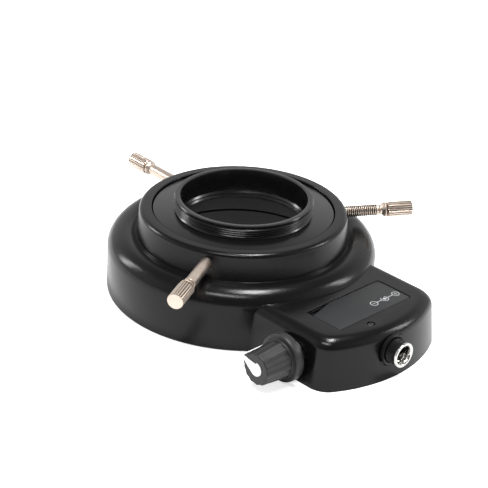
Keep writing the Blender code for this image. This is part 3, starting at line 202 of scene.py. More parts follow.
tree.links.new(card_mix.outputs[0], card_sides.inputs[1])
tree.links.new(clear.outputs[0], card_sides.inputs[2])
tree.links.new(card_sides.outputs[0], tree.nodes["Material Output"].inputs["Surface"])
table.data.materials.append(table_paint)

# Housing.
# One moulding of black ABS: the LED ring with its rounded shoulder, the plain neck that takes the
# microscope, and the control box with drafted sides and a soft roof edge. Its skin is spark-eroded.
BASE_RADIUS = 46.5
BASE_TOP = 21.2
SHOULDER = 6.2
NECK_FOOT = 36.6
NECK_RADIUS = 35.8
NECK_TOP = 29.7
NECK_ROUND = 1.6
RIM_ROUND = 0.6
LEDGE = 2.8
LAMP_CEILING = 17.8
BORE_RADIUS = 31.5
SEAT_HEIGHT = 22.1
BOX_MIDDLE = -2.3
BOX_REACH = 75.9
BOX_HALF = 27.8
BOX_TOP = 17.3
BOX_ROUND = 4.0
BOX_DRAFT = math.radians(5.0)
BOX_END = 50.0
BOX_CORNER = 7.5


def choose(test, kind="VERT"):
    """Selects the vertices or faces of the mesh being edited whose middle passes the test."""
    bpy.ops.mesh.select_mode(type=kind)
    bpy.ops.mesh.select_all(action="DESELECT")
    sheet = bmesh.from_edit_mesh(bpy.context.object.data)
    for part in (sheet.verts if kind == "VERT" else sheet.faces):
        middle = part.co if kind == "VERT" else part.calc_center_median()
        if test(middle):
            part.select_set(True)
    sheet.select_flush_mode()
    bmesh.update_edit_mesh(bpy.context.object.data)


def round_corner(x, z, radius, start, end, steps):
    """Points in millimetres along an arc of a section, angles in degrees."""
    points = []
    for step in range(steps + 1):
        turn = math.radians(start + (end - start) * step / steps)
        points.append((x + radius * math.cos(turn), z + radius * math.sin(turn)))
    return points


def pick(piece):
    """Selects one piece alone and makes it the active one."""
    bpy.ops.object.select_all(action="DESELECT")
    piece.select_set(True)
    bpy.context.view_layer.objects.active = piece


def upright(x=0.0, y=0.0, z=0.0):
    """Placement upright at a point measured from the ring's axis, in millimetres."""
    return Matrix.Translation((ring_x + x * MM, ring_y + y * MM, z * MM))


def settle(piece, place):
    """Puts a piece that was modelled at the origin in its place, for good."""
    piece.matrix_world = place
    pick(piece)
    bpy.ops.object.transform_apply(location=True, rotation=True, scale=True)
    return piece


def turned(name, section, steps, place=None, closed=False):
    """Draws a circle up through a section of (radius, height) in millimetres, as on a lathe."""
    bpy.ops.object.select_all(action="DESELECT")
    first_radius, first_height = section[0]
    bpy.ops.mesh.primitive_circle_add(
        vertices=steps, radius=first_radius * MM, fill_type="NOTHING" if closed else "NGON")
    piece = bpy.context.object
    piece.name = name
    bpy.ops.object.mode_set(mode="EDIT")
    bpy.ops.mesh.select_mode(type="VERT")
    bpy.ops.mesh.select_all(action="SELECT")
    bpy.ops.transform.translate(value=(0.0, 0.0, first_height * MM))
    path = list(section) + ([section[0]] if closed else [])
    for (radius, height), (next_radius, next_height) in zip(path, path[1:]):
        bpy.ops.mesh.extrude_edges_move(
            TRANSFORM_OT_translate={"value": (0.0, 0.0, (next_height - height) * MM)})
        if next_radius != radius:
            share = next_radius / radius
            bpy.ops.transform.resize(value=(share, share, 1.0), center_override=(0.0, 0.0, 0.0))
    if closed:
        bpy.ops.mesh.select_all(action="SELECT")
        bpy.ops.mesh.remove_doubles(threshold=0.001 * MM)
    else:
        bpy.ops.mesh.edge_face_add()
    bpy.ops.mesh.select_all(action="SELECT")
    bpy.ops.mesh.normals_make_consistent(inside=False)
    bpy.ops.object.mode_set(mode="OBJECT")
    return settle(piece, place or upright())


def extruded(name, outline, low, high, place=None):
    """Draws a line through plan points in millimetres, fills it and lifts it to a height."""
    bpy.ops.object.select_all(action="DESELECT")
    bpy.ops.mesh.primitive_plane_add(size=MM)
    piece = bpy.context.object
    piece.name = name
    bpy.ops.object.mode_set(mode="EDIT")
    choose(lambda spot: spot.x < 0 or spot.y < 0)
    bpy.ops.mesh.delete(type="VERT")
    bpy.ops.mesh.select_all(action="SELECT")
    last = Vector((MM / 2, MM / 2, 0.0))
    for index, (x, y) in enumerate(outline):
        spot = Vector((x * MM, y * MM, low * MM))
        if index == 0:
            bpy.ops.transform.translate(value=spot - last)
        else:
            bpy.ops.mesh.extrude_vertices_move(TRANSFORM_OT_translate={"value": spot - last})
        last = spot
    bpy.ops.mesh.select_all(action="SELECT")
    bpy.ops.mesh.edge_face_add()
    bpy.ops.mesh.select_all(action="SELECT")
    bpy.ops.mesh.extrude_region_move(TRANSFORM_OT_translate={"value": (0.0, 0.0, (high - low) * MM)})
    bpy.ops.mesh.select_all(action="SELECT")
    bpy.ops.mesh.normals_make_consistent(inside=False)
    bpy.ops.object.mode_set(mode="OBJECT")
    return settle(piece, place or upright())


def apply_modifier(piece, kind, **settings):
    """Adds a modifier with its settings and applies it."""
    modifier = piece.modifiers.new(kind.lower(), kind)
    for key, value in settings.items():
        setattr(modifier, key, value)
    pick(piece)
    bpy.ops.object.modifier_apply(modifier=modifier.name)


def boolean(piece, other, operation):
    """Joins or cuts a piece with another one, which is then gone."""
    apply_modifier(piece, "BOOLEAN", operation=operation, object=other, solver="EXACT")
    bpy.data.objects.remove(other, do_unlink=True)


def smooth(piece, angle=35.0):
    """Shades a piece smooth, except over edges sharper than that angle in degrees."""
    pick(piece)
    bpy.ops.object.shade_smooth_by_angle(angle=math.radians(angle))


def box_plan(inset, root):
    """Plan of the control box: root arc, dimmer's side, curved end and far side."""
    half = BOX_HALF - inset
    end = BOX_END - inset
    corner = BOX_CORNER - inset
    middle_x = BOX_REACH - BOX_END
    corner_y = half - corner
    corner_x = math.sqrt((end - corner) ** 2 - corner_y ** 2)
    swing = math.degrees(math.atan2(corner_y, corner_x))
    right = math.degrees(math.asin((BOX_MIDDLE + half) / root))
    left = math.degrees(math.asin((BOX_MIDDLE - half) / root))
    plan = round_corner(0.0, 0.0, root, right, left, 24)
    plan += round_corner(middle_x + corner_x, BOX_MIDDLE - corner_y, corner, -90, -swing, 10)
    plan += round_corner(middle_x, BOX_MIDDLE, end, -swing, swing, 40)[1:-1]
    plan += round_corner(middle_x + corner_x, BOX_MIDDLE + corner_y, corner, swing, 90, 10)
    return plan


section = [(30.3, 0.0), (33.3, 0.0), (33.3, LEDGE), (34.1, LEDGE), (34.1, LAMP_CEILING),
           (41.5, LAMP_CEILING), (43.5, 15.8), (43.5, LEDGE), (44.3, LEDGE), (44.3, 0.0)]
section += round_corner(BASE_RADIUS - RIM_ROUND, RIM_ROUND, RIM_ROUND, -90, 0, 4)
section += round_corner(BASE_RADIUS - SHOULDER, BASE_TOP - SHOULDER, SHOULDER, 0, 90, 14)
section += [(39.2, BASE_TOP), (38.3, BASE_TOP - 0.25), (37.6, BASE_TOP - 0.7), (37.0, BASE_TOP - 1.05),
            (36.7, BASE_TOP - 1.1), (NECK_FOOT, BASE_TOP - 0.95)]
section += round_corner(NECK_RADIUS - NECK_ROUND, NECK_TOP - NECK_ROUND, NECK_ROUND, 3, 90, 8)
section += [(BORE_RADIUS + 0.2, NECK_TOP), (BORE_RADIUS, NECK_TOP - 0.2), (BORE_RADIUS, SEAT_HEIGHT),
            (29.8, SEAT_HEIGHT), (29.8, 20.4), (30.9, 20.4), (30.9, 13.8), (30.3, 13.8)]
housing = turned("housing_moulding", section, 192, closed=True)

DRAW_CENTRE = 40.0
ROUND_STEPS = 10
wall_top = BOX_TOP - BOX_ROUND
wall_inset = wall_top * math.tan(BOX_DRAFT)
box = extruded("control_box", box_plan(0.0, 45.4), 0.0, wall_top)
pick(box)
bpy.ops.object.mode_set(mode="EDIT")


def draw_in(inset, before):
    """Draws the selected roof outline in, along the box's length and width."""
    long_share = (BOX_REACH - DRAW_CENTRE - inset) / (BOX_REACH - DRAW_CENTRE - before)
    wide_share = (BOX_HALF - inset) / (BOX_HALF - before)
    centre = Vector((ring_x + DRAW_CENTRE * MM, ring_y + BOX_MIDDLE * MM, 0.0))
    bpy.ops.transform.resize(value=(long_share, wide_share, 1.0), center_override=centre)


choose(lambda spot: spot.z > wall_top * MM - 0.01 * MM)
draw_in(wall_inset, 0.0)
for step in range(ROUND_STEPS):
    start = math.radians(90.0 * step / ROUND_STEPS)
    end = math.radians(90.0 * (step + 1) / ROUND_STEPS)
    climb = BOX_ROUND * (math.sin(end) - math.sin(start))
    bpy.ops.mesh.extrude_region_move(TRANSFORM_OT_translate={"value": (0.0, 0.0, climb * MM)})
    draw_in(wall_inset + BOX_ROUND * (1 - math.cos(end)), wall_inset + BOX_ROUND * (1 - math.cos(start)))
bpy.ops.object.mode_set(mode="OBJECT")
boolean(housing, box, "UNION")
boolean(housing, extruded("cover_pocket", box_plan(1.9, 47.0), -2.0, LEDGE), "DIFFERENCE")
boolean(housing, extruded("box_inside", box_plan(3.91, 47.5), 2.0, 15.3), "DIFFERENCE")

COVER_SCREWS = ((64.5, -20.3), (64.8, 15.5), (46.8, 17.5), (45.0, -21.8))
DRIVER_SCREWS = ((53.2, -9.31), (53.2, 17.49))
LED_SCREWS = [(39.0 * math.cos(math.radians(turn)), 39.0 * math.sin(math.radians(turn)))
              for turn in (28.125, 151.875, 264.375)]


def join_all(pieces, name):
    """Makes one piece of several."""
    bpy.ops.object.select_all(action="DESELECT")
    for piece in pieces:
        piece.select_set(True)
    bpy.context.view_layer.objects.active = pieces[0]
    bpy.ops.object.join()
    pieces[0].name = name
    return pieces[0]


def pegs(places, radius, low, high, steps=32):
    """Round pegs of one radius that stand at several plan points, in millimetres."""
    return [turned("peg", [(radius, low), (radius, high)], steps, upright(x, y)) for x, y in places]


# Screw bosses and their holes: radius, foot and top for the cover's, the driver's and the lamps' screws.
for name, operation, for_cover, for_driver, for_lamps in (
        ("bosses", "UNION", (2.4, 2.9, 15.8), (1.8, 6.9, 15.8), (1.8, 10.1, 18.3)),
        ("pilot_holes", "DIFFERENCE", (1.2, 1.0, 8.7), (1.0, 4.0, 9.5), (1.0, 8.0, 12.7))):
    rods = pegs(COVER_SCREWS, *for_cover) + pegs(DRIVER_SCREWS, *for_driver) + pegs(LED_SCREWS, *for_lamps)
    boolean(housing, join_all(rods, name), operation)


def oblong(low_x, low_y, high_x, high_y):
    """Plan points of a rectangle."""
    return [(low_x, low_y), (high_x, low_y), (high_x, high_y), (low_x, high_y)]


boolean(housing, extruded("wire_slot", oblong(41.0, -4.0, 49.0, 4.0), 10.1, 13.1), "DIFFERENCE")

SCREW_TURNS = (59.8, 177.8, 297.2)
SCREW_HEIGHT = 25.5


def radial(turn, reach=0.0):
    """Placement on a thumb screw's axis, with Z away from the ring, in millimetres."""
    swing = Matrix.Rotation(math.radians(turn), 4, "Z") @ Matrix.Rotation(math.pi / 2, 4, "Y")
    return (Matrix.Translation((ring_x, ring_y, SCREW_HEIGHT * MM)) @ swing
            @ Matrix.Translation((0.0, 0.0, reach * MM)))


for turn in SCREW_TURNS:
    seat = turned("screw_seat", [(3.1, 29.8), (3.1, 35.3), (2.02, 35.3), (2.02, 40.0)], 40, radial(turn))
    boolean(housing, seat, "DIFFERENCE")

DIMMER_X = 54.34
DIMMER_HEIGHT = 8.424
SOCKET_Y = -5.8
SOCKET_HEIGHT = 10.401
dimmer_place = (Matrix.Translation((ring_x + DIMMER_X * MM, ring_y, DIMMER_HEIGHT * MM))
                @ Matrix.Rotation(math.pi / 2, 4, "X"))
socket_place = (Matrix.Translation((ring_x, ring_y + SOCKET_Y * MM, SOCKET_HEIGHT * MM))
                @ Matrix.Rotation(math.pi / 2, 4, "Y"))
section = [(3.8, 24.2), (3.8, 28.8), (5.0, 28.8), (5.0, 33.0)]
boolean(housing, turned("dimmer_hole", section, 48, dimmer_place), "DIFFERENCE")
section = [(4.8, 70.0), (4.8, 72.0), (4.4, 72.0), (4.4, 74.4), (5.6, 74.4), (5.6, 78.0)]
boolean(housing, turned("socket_hole", section, 64, socket_place), "DIFFERENCE")

PLATE_X = 57.15
PLATE_Y = -2.1
PLATE_LONG = 14.7
PLATE_WIDE = 34.2
ABOVE_ROOF = 20.0


def rounded_plan(x, y, length, width, corner):
    """Plan points of a rectangle with rounded corners, from its middle."""
    plan = []
    for quarter, (side_x, side_y) in enumerate(((-1, -1), (1, -1), (1, 1), (-1, 1))):
        plan += round_corner(x + side_x * (length / 2 - corner), y + side_y * (width / 2 - corner), corner,
                             180 + 90 * quarter, 270 + 90 * quarter, 5)
    return plan


outline = rounded_plan(PLATE_X, PLATE_Y, PLATE_LONG, PLATE_WIDE, 1.2)
boolean(housing, extruded("plate_recess", outline, BOX_TOP - 0.8, ABOVE_ROOF), "DIFFERENCE")
corner_x = PLATE_X - PLATE_LONG / 2 + 0.1
corner_y = PLATE_Y - PLATE_WIDE / 2 + 0.1
outline = [(corner_x, corner_y), (corner_x + 2.6, corner_y), (corner_x, corner_y + 9.8)]
boolean(housing, extruded("plate_pocket", outline, BOX_TOP - 1.8, ABOVE_ROOF), "DIFFERENCE")
roof_place = upright(67.8, -8.5)
section = [(0.9, 13.0), (0.9, 16.4), (1.35, 16.4), (1.35, ABOVE_ROOF)]
boolean(housing, turned("roof_hole", section, 32, roof_place), "DIFFERENCE")
smooth(housing, 30.0)
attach(housing, "housing")
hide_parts("housing_shell")


def object_noise(tree, grain_mm, detail=2.0):
    """Noise fixed to the piece, with grains of that size in millimetres."""
    place = add_node(tree, "ShaderNodeTexCoord")
    return add_node(tree, "ShaderNodeTexNoise", {"Scale": 1.0 / (grain_mm * MM), "Detail": detail},
                    Vector=place.outputs["Object"])


def vary_colour(tree, shader, noise, low, high):
    """Lets the base colour drift between two sRGB values with the noise."""
    tone = add_node(tree, "ShaderNodeMix", {"data_type": "RGBA", 6: linear(low), 7: linear(high)},
                    Factor=noise.outputs[0])
    tree.links.new(tone.outputs[2], shader.inputs["Base Color"])


def vary_gloss(tree, shader, noise, low, high):
    """Lets the roughness drift between two values with the noise."""
    gloss = add_node(tree, "ShaderNodeMapRange", {3: low, 4: high}, Value=noise.outputs[0])
    tree.links.new(gloss.outputs[0], shader.inputs["Roughness"])


def emboss(tree, shader, noise, strength, depth_mm, edge_mm=0.0):
    """Raises the noise as fine relief, over edges that are softened by a small radius."""
    relief = add_node(tree, "ShaderNodeBump", {"Strength": strength, "Distance": depth_mm * MM},
                      Height=noise.outputs[0])
    if edge_mm:
        edge = add_node(tree, "ShaderNodeBevel", {"samples": 6, "Radius": edge_mm * MM})
        tree.links.new(edge.outputs[0], relief.inputs["Normal"])
    tree.links.new(relief.outputs[0], shader.inputs["Normal"])


def give(piece, material):
    """Puts one material on a piece."""
    piece.data.materials.clear()
    piece.data.materials.append(material)


# Black ABS, injection moulded in a spark-eroded tool: satin, with a fine grain that breaks up the
# gloss into glints. The real grain is near 0.1 mm and is drawn at 0.42 mm, so that it shows.
moulded_abs, tree, shader = new_material("moulded_black_abs")
cloud = object_noise(tree, 14.0, 4.0)
vary_colour(tree, shader, cloud, "0c0c0d", "101011")
vary_gloss(tree, shader, cloud, 0.17, 0.22)
emboss(tree, shader, object_noise(tree, 0.42, 3.0), 0.7, 0.045, 0.3)
shader.inputs["IOR"].default_value = 1.53
shader.inputs["Specular IOR Level"].default_value = 0.21
give(housing, moulded_abs)

# Bottom cover.
# A flat moulded lid of the same ABS, let into the rim of the control box from below and held by
# four small pan-head screws in counterbores.
def break_edges(piece, width, angle=50.0):
    """Bevels the edges of a piece that are sharper than that angle in degrees, by so many millimetres."""
    apply_modifier(piece, "BEVEL", width=width * MM, segments=2, limit_method="ANGLE",
                   angle_limit=math.radians(angle))


cover = extruded("cover_plate", box_plan(2.2, 47.3), 0.5, 2.5)
break_edges(cover, 0.25)
boolean(cover, join_all(pegs(COVER_SCREWS, 2.1, -1.0, 1.7, 40), "counterbores"), "DIFFERENCE")
boolean(cover, join_all(pegs(COVER_SCREWS, 1.2, 0.0, 4.0), "clearance_holes"), "DIFFERENCE")
smooth(cover, 30.0)
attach(cover, "housing")
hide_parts("bottom_cover")
give(cover, moulded_abs)


def copy_piece(source, name, place):
    """Copies a piece that was modelled at the origin, with its own mesh, to its place."""
    piece = source.copy()
    piece.data = source.data.copy()
    piece.name = name
    bpy.context.collection.objects.link(piece)
    return settle(piece, place)


still = Matrix.Identity(4)
section = [(1.3, 0.0), (1.62, 0.1), (1.8, 0.35), (1.8, 0.7), (0.9, 0.7), (0.9, 7.4), (0.6, 7.7)]
pan_head = turned("pan_head_screw", section, 40, still)
for half_x, half_y in ((1.0, 0.21), (0.21, 1.0)):
    cross = extruded("driver_cross", oblong(-half_x, -half_y, half_x, half_y), -0.5, 0.45, still)
    boolean(pan_head, cross, "DIFFERENCE")
smooth(pan_head)

# Zinc-plated steel, barrelled and plated: a cool grey with a slightly cloudy shine.
zinc_steel, tree, shader = new_material("zinc_plated_steel")
shader.inputs["Metallic"].default_value = 1.0
cloud = object_noise(tree, 0.8, 4.0)
vary_colour(tree, shader, cloud, "a3a5a8", "bcbdbf")
vary_gloss(tree, shader, cloud, 0.28, 0.42)
emboss(tree, shader, object_noise(tree, 0.15), 0.1, 0.01)
give(pan_head, zinc_steel)
for number, (x, y) in enumerate(COVER_SCREWS, 1):
    screw = copy_piece(pan_head, f"cover_pan_head_{number}", upright(x, y, 0.7))
    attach(screw, "housing")
    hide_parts(f"cover_screw_{number}")
bpy.data.objects.remove(pan_head, do_unlink=True)

# Light window.
# A flat ring of clear acrylic, cut from sheet with lightly broken edges, that sits on the ledge at
# the foot of the housing and covers the lamps.
window = turned("acrylic_window", [(33.75, 0.5), (43.85, 0.5), (44.0, 0.65), (44.0, 2.35), (43.85, 2.5),
                                   (33.75, 2.5), (33.6, 2.35), (33.6, 0.65)], 192, closed=True)
smooth(window, 30.0)
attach(window, "housing")
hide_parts("light_window")

# Cast acrylic: clear, with a polish that is a little uneven under the light.
acrylic, tree, shader = new_material("clear_cast_acrylic")
shader.inputs["Base Color"].default_value = linear("f4f8f8")
shader.inputs["Transmission Weight"].default_value = 1.0
shader.inputs["IOR"].default_value = 1.49
vary_gloss(tree, shader, object_noise(tree, 9.0, 3.0), 0.02, 0.09)
give(window, acrylic)

# Lamps.
# Two rows of water-clear 3 mm LEDs that hang from a white board on a white strip. Each one has a
# domed lens, a thin foot and a small cup with a yellow phosphor drop inside.
LAMPS_IN_ROW = 16
ROW_RADII = (36.9, 41.1)
section = [(0.02, 3.7)] + round_corner(0.0, 5.2, 1.5, -80, 0, 7) + [(1.5, 7.0), (1.68, 7.05), (1.68, 7.35)]
lens = turned("lens", section, 24, still)
cup = turned("cup", [(0.55, 5.9), (0.75, 6.0), (0.75, 6.6), (0.3, 6.75)], 16, still)
smooth(lens, 40.0)
smooth(cup)
lenses = []
cups = []
for row, radius in enumerate(ROW_RADII):
    for number in range(LAMPS_IN_ROW):
        turn = TURN * (number + row / 2) / LAMPS_IN_ROW
        place = upright(radius * math.cos(turn), radius * math.sin(turn))
        lenses.append(copy_piece(lens, "led_lens", place))
        cups.append(copy_piece(cup, "led_cup", place))
bpy.data.objects.remove(lens, do_unlink=True)
bpy.data.objects.remove(cup, do_unlink=True)
lenses = join_all(lenses, "led_lenses")
cups = join_all(cups, "led_cups")
strip = turned("led_strip", [(35.1, 7.3), (42.9, 7.3), (42.9, 7.9), (35.1, 7.9)], 192, closed=True)
boolean(strip, join_all(pegs(LED_SCREWS, 1.5, 6.5, 8.5), "strip_holes"), "DIFFERENCE")
smooth(strip)

# Water-clear epoxy, cast in a polished mould.
clear_epoxy, tree, shader = new_material("water_clear_epoxy")
shader.inputs["Base Color"].default_value = linear("f7f7f2")
shader.inputs["Transmission Weight"].default_value = 0.85
shader.inputs["IOR"].default_value = 1.52
vary_gloss(tree, shader, object_noise(tree, 1.5), 0.04, 0.12)
give(lenses, clear_epoxy)

# Phosphor set in silicone: matt yellow, a little grainy.
phosphor, tree, shader = new_material("yellow_phosphor")
grit = object_noise(tree, 0.2)
vary_colour(tree, shader, grit, "e6c93a", "f0dc6a")
vary_gloss(tree, shader, grit, 0.5, 0.7)
emboss(tree, shader, grit, 0.2, 0.02)
give(cups, phosphor)

# White solder lacquer on fibreglass: smooth, with the faint weave of the cloth under it.
white_lacquer, tree, shader = new_material("white_solder_lacquer")
weave = object_noise(tree, 0.6)
vary_colour(tree, shader, weave, "dcdcd6", "e8e8e3")
vary_gloss(tree, shader, weave, 0.35, 0.5)
emboss(tree, shader, weave, 0.12, 0.02)
give(strip, white_lacquer)
for piece in (lenses, cups, strip):
    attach(piece, "housing")
    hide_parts("led_array")


def dress(material, *nodes):
    """Gives fixed CAD nodes a material through their own slots."""
    for node in nodes:
        for slot in bpy.data.objects[node].material_slots:
            slot.material = material


dress(white_lacquer, "led_board")
dress(zinc_steel, "led_screw_1", "led_screw_2", "led_screw_3", "driver_screw_1", "driver_screw_2")

# Driver board.
# A small green board that hangs beside the wall of the control box, with a black capacitor, a
# copper coil, a chip and soldered wires. It steadies the current of the lamps.
green_lacquer, tree, shader = new_material("green_solder_lacquer")
weave = object_noise(tree, 0.5)
vary_colour(tree, shader, weave, "14492a", "1b5a35")
vary_gloss(tree, shader, weave, 0.3, 0.45)
emboss(tree, shader, weave, 0.15, 0.02)
dress(green_lacquer, "driver_board")

# Shrunk PVC sleeve on the capacitor and epoxy on the chip: black, half matt.
black_sleeve, tree, shader = new_material("black_shrink_sleeve")
cloud = object_noise(tree, 1.2)
vary_colour(tree, shader, cloud, "18181b", "222226")
vary_gloss(tree, shader, cloud, 0.35, 0.55)
emboss(tree, shader, cloud, 0.1, 0.02)
dress(black_sleeve, "driver_capacitor", "driver_chip")

# Enamelled copper wire in tight turns of 0.19 mm round the coil. A wave texture repeats every 0.1 pi
# of its own units.
WAVE_LENGTH = 0.1 * math.pi
copper_coil, tree, shader = new_material("enamelled_copper_wire")
shader.inputs["Metallic"].default_value = 1.0
cloud = object_noise(tree, 0.5)
vary_colour(tree, shader, cloud, "a85a2c", "bf6d38")
vary_gloss(tree, shader, cloud, 0.25, 0.4)
place = add_node(tree, "ShaderNodeTexCoord")
turns = add_node(tree, "ShaderNodeTexWave", {"bands_direction": "Z", "Scale": WAVE_LENGTH / (0.1885 * MM)},
                 Vector=place.outputs["Object"])
emboss(tree, shader, turns, 0.5, 0.08)
dress(copper_coil, "driver_coil")

# Soft PVC on the wires, with a faint waviness from the extruder.
for name, low, high, nodes in (
        ("red_wire_pvc", "8e1010", "a51818", ("led_wire_red", "socket_wire_red")),
        ("black_wire_pvc", "131314", "1d1d1e", ("led_wire_black", "socket_wire_black"))):
    wire_pvc, tree, shader = new_material(name)
    cloud = object_noise(tree, 1.5)
    vary_colour(tree, shader, cloud, low, high)
    vary_gloss(tree, shader, cloud, 0.35, 0.5)
    emboss(tree, shader, cloud, 0.1, 0.03)
    dress(wire_pvc, *nodes)

# Adapter ring.
# A turned aluminium ring that drops into the neck: a flat flange with a V groove in its rim for
# the screws' tips, and a collar with a fine outside thread. Its bore has two shallow grooves.
THREAD_PITCH = 0.75
THREAD_FOOT = 29.75
THREAD_END = 33.4
section = [(21.75, 23.8), (23.15, 22.4), (30.75, 22.4), (31.1, 22.75), (31.1, 23.4), (29.2, 25.1),
           (29.2, 25.9), (31.1, 27.6), (31.1, 28.85), (31.0, 29.1), (30.75, 29.2), (24.15, 29.2),
           (23.75, 29.3), (23.55, 29.6)]
height = THREAD_FOOT
while height + THREAD_PITCH < THREAD_END:
    section += [(23.58, height), (23.94, height + 0.26), (24.0, height + 0.33), (24.0, height + 0.42),
                (23.94, height + 0.49)]
    height += THREAD_PITCH
section += [(23.58, height), (23.66, height + 0.1), (23.7, 33.72), (23.6, 33.86), (23.45, 33.9),
            (22.05, 33.9), (21.85, 33.82), (21.75, 33.6), (21.75, 26.2), (22.2, 25.85), (22.25, 25.7),
            (21.75, 25.0), (21.75, 24.7), (22.1, 24.5), (22.1, 24.35)]
adapter = turned("thread_adapter", section, 256, closed=True)
smooth(adapter, 28.0)
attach(adapter, "adapter")
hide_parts("adapter_ring")


def turning_marks(tree, pitch_mm, centre):
    """Fine rings round the axis of a turned piece."""
    place = add_node(tree, "ShaderNodeTexCoord")
    shift = add_node(tree, "ShaderNodeMapping", {"Location": (-centre[0], -centre[1], 0.0)},
                     Vector=place.outputs["Object"])
    return add_node(tree, "ShaderNodeTexWave",
                    {"wave_type": "RINGS", "rings_direction": "Z", "Scale": WAVE_LENGTH / (pitch_mm * MM),
                     "Distortion": 0.6, "Detail": 2.0},
                    Vector=shift.outputs[0])


# Black anodised aluminium, turned on a lathe: a dark, slightly metallic skin whose fine rings draw
# the light out into streaks. The marks are near 0.1 mm apart and are drawn at 0.19 mm.
black_anodised, tree, shader = new_material("black_anodised_aluminium")
cloud = object_noise(tree, 8.0, 3.0)
vary_colour(tree, shader, cloud, "0a0a0b", "0e0e0f")
vary_gloss(tree, shader, cloud, 0.18, 0.25)
emboss(tree, shader, turning_marks(tree, 0.1885, (ring_x, ring_y)), 0.12, 0.01)
shader.inputs["Specular IOR Level"].default_value = 0.55
give(adapter, black_anodised)

# Thumb screws.
# Three nickel-plated brass screws through brass inserts in the neck. Each has a coned tip, a shank
# and a slim head with a straight knurl, which a groove parts from the head's small collar.
SCREW_TIPS = (31.8, 31.95, 34.8)
THREAD_ENDS = (16.6, 3.6, 0.0)
SHANK_LENGTH = 17.1
SHANK_RADIUS = 1.95
THREAD_ROOT = 1.52
SCREW_PITCH = 0.7


def shank_section(thread_end):
    """Half section of a shank whose thread ends at that height above the tip."""
    points = [(0.75, 0.0), (0.85, 0.06), (1.7, 0.95)]
    height = 1.05
    while height + SCREW_PITCH < thread_end:
        points += [(THREAD_ROOT, height), (THREAD_ROOT, height + 0.12), (1.92, height + 0.25),
                   (SHANK_RADIUS, height + 0.3), (SHANK_RADIUS, height + 0.5), (1.92, height + 0.55)]
        height += SCREW_PITCH
    return points + [(SHANK_RADIUS, height + 0.15), (SHANK_RADIUS, SHANK_LENGTH - 0.15),
                     (1.8, SHANK_LENGTH), (1.0, SHANK_LENGTH), (1.0, SHANK_LENGTH + 3.9),
                     (0.9, SHANK_LENGTH + 4.0)]


# Nickel over brass, barrelled to a warm silver satin.
bright_nickel, tree, shader = new_material("bright_nickel_on_brass")
shader.inputs["Metallic"].default_value = 1.0
cloud = object_noise(tree, 2.0, 4.0)
vary_colour(tree, shader, cloud, "c6b5a7", "ded0c3")
vary_gloss(tree, shader, cloud, 0.3, 0.4)
emboss(tree, shader, object_noise(tree, 0.25), 0.12, 0.01)

# The same nickel in the grooves, painted a dull dark brown to stand for the shade that falls deep in them.
groove_shade_nickel, tree, shader = new_material("nickel_with_painted_groove_shade")
shader.inputs["Metallic"].default_value = 1.0
cloud = object_noise(tree, 1.0, 3.0)
vary_colour(tree, shader, cloud, "3d3027", "5c4a3c")
vary_gloss(tree, shader, cloud, 0.35, 0.5)
emboss(tree, shader, object_noise(tree, 0.25), 0.15, 0.01)


def tone_faces(piece, test, material):
    """Gives a second material to the faces that pass a test."""
    piece.data.materials.append(material)
    pick(piece)
    bpy.ops.object.mode_set(mode="EDIT")
    choose(test, "FACE")
    piece.active_material_index = 1
    bpy.ops.object.material_slot_assign()
    bpy.ops.object.mode_set(mode="OBJECT")


HEAD_RADIUS = 2.7
KNURLS = 20
KNURL_STEPS = 8
KNURL_DEPTHS = {3: 0.16, 4: 0.38, 5: 0.16}
HEAD_GAP = 0.3
section = [(1.3, 4.0), (1.3, 0.0), (1.5, 0.0), (1.6, 0.1), (1.6, 0.75), (2.5, 1.65), (2.58, 1.8),
           (2.58, 2.08), (2.5, 2.16), (1.95, 2.2), (1.95, 2.7), (2.3, 2.72), (2.55, 2.85),
           (HEAD_RADIUS, 3.1), (HEAD_RADIUS, 11.45), (2.64, 11.68), (2.4, 11.8), (2.0, 11.8)]
knurled_head = turned("knurled_head", section, KNURLS * KNURL_STEPS, still)


def phase(spot, count, steps):
    """Which step of its own wave a point is on, going round the axis."""
    return round(math.atan2(spot.y, spot.x) / TURN * count * steps) % steps


def on_knurl(spot, low, high):
    """Whether a point is on the knurled length and between two radii in millimetres."""
    return 2.9 * MM < spot.z < 11.6 * MM and low * MM < spot.xy.length < high * MM


def in_neck_groove(spot):
    """Whether a point is in the groove between the head's collar and its knurl."""
    return 2.3 * MM < spot.z < 2.7 * MM


def in_thread_groove(spot):
    """Whether a point is between the crests of a shank's thread."""
    return spot.z < 16.5 * MM and 1.4 * MM < spot.xy.length < 1.8 * MM


pick(knurled_head)
bpy.ops.object.mode_set(mode="EDIT")
for step, depth in KNURL_DEPTHS.items():
    choose(lambda spot: on_knurl(spot, 2.4, 3.0) and phase(spot, KNURLS, KNURL_STEPS) == step)
    share = (HEAD_RADIUS - depth) / HEAD_RADIUS
    bpy.ops.transform.resize(value=(share, share, 1.0), center_override=(0.0, 0.0, 0.0))
bpy.ops.object.mode_set(mode="OBJECT")
smooth(knurled_head, 25.0)
give(knurled_head, bright_nickel)
# The knurl's hollows and the groove under the head get the nickel painted dark for their shade.
tone_faces(knurled_head, lambda spot: on_knurl(spot, 1.8, 2.56) or in_neck_groove(spot), groove_shade_nickel)

for number, (turn, tip, thread_end) in enumerate(zip(SCREW_TURNS, SCREW_TIPS, THREAD_ENDS), 1):
    shank = turned(f"thumb_shank_{number}", shank_section(thread_end), 48, still)
    smooth(shank, 25.0)
    give(shank, bright_nickel)
    # The thread's hollows get the same painted shade.
    tone_faces(shank, in_thread_groove, groove_shade_nickel)
    settle(shank, radial(turn, tip))
    knob = copy_piece(knurled_head, f"thumb_head_{number}", radial(turn, tip + SHANK_LENGTH + HEAD_GAP))
    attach(shank, f"screw_{number}_shank")
    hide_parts(f"thumb_screw_{number}_shank")
    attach(knob, f"screw_{number}_head")
    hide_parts(f"thumb_screw_{number}_head")
bpy.data.objects.remove(knurled_head, do_unlink=True)

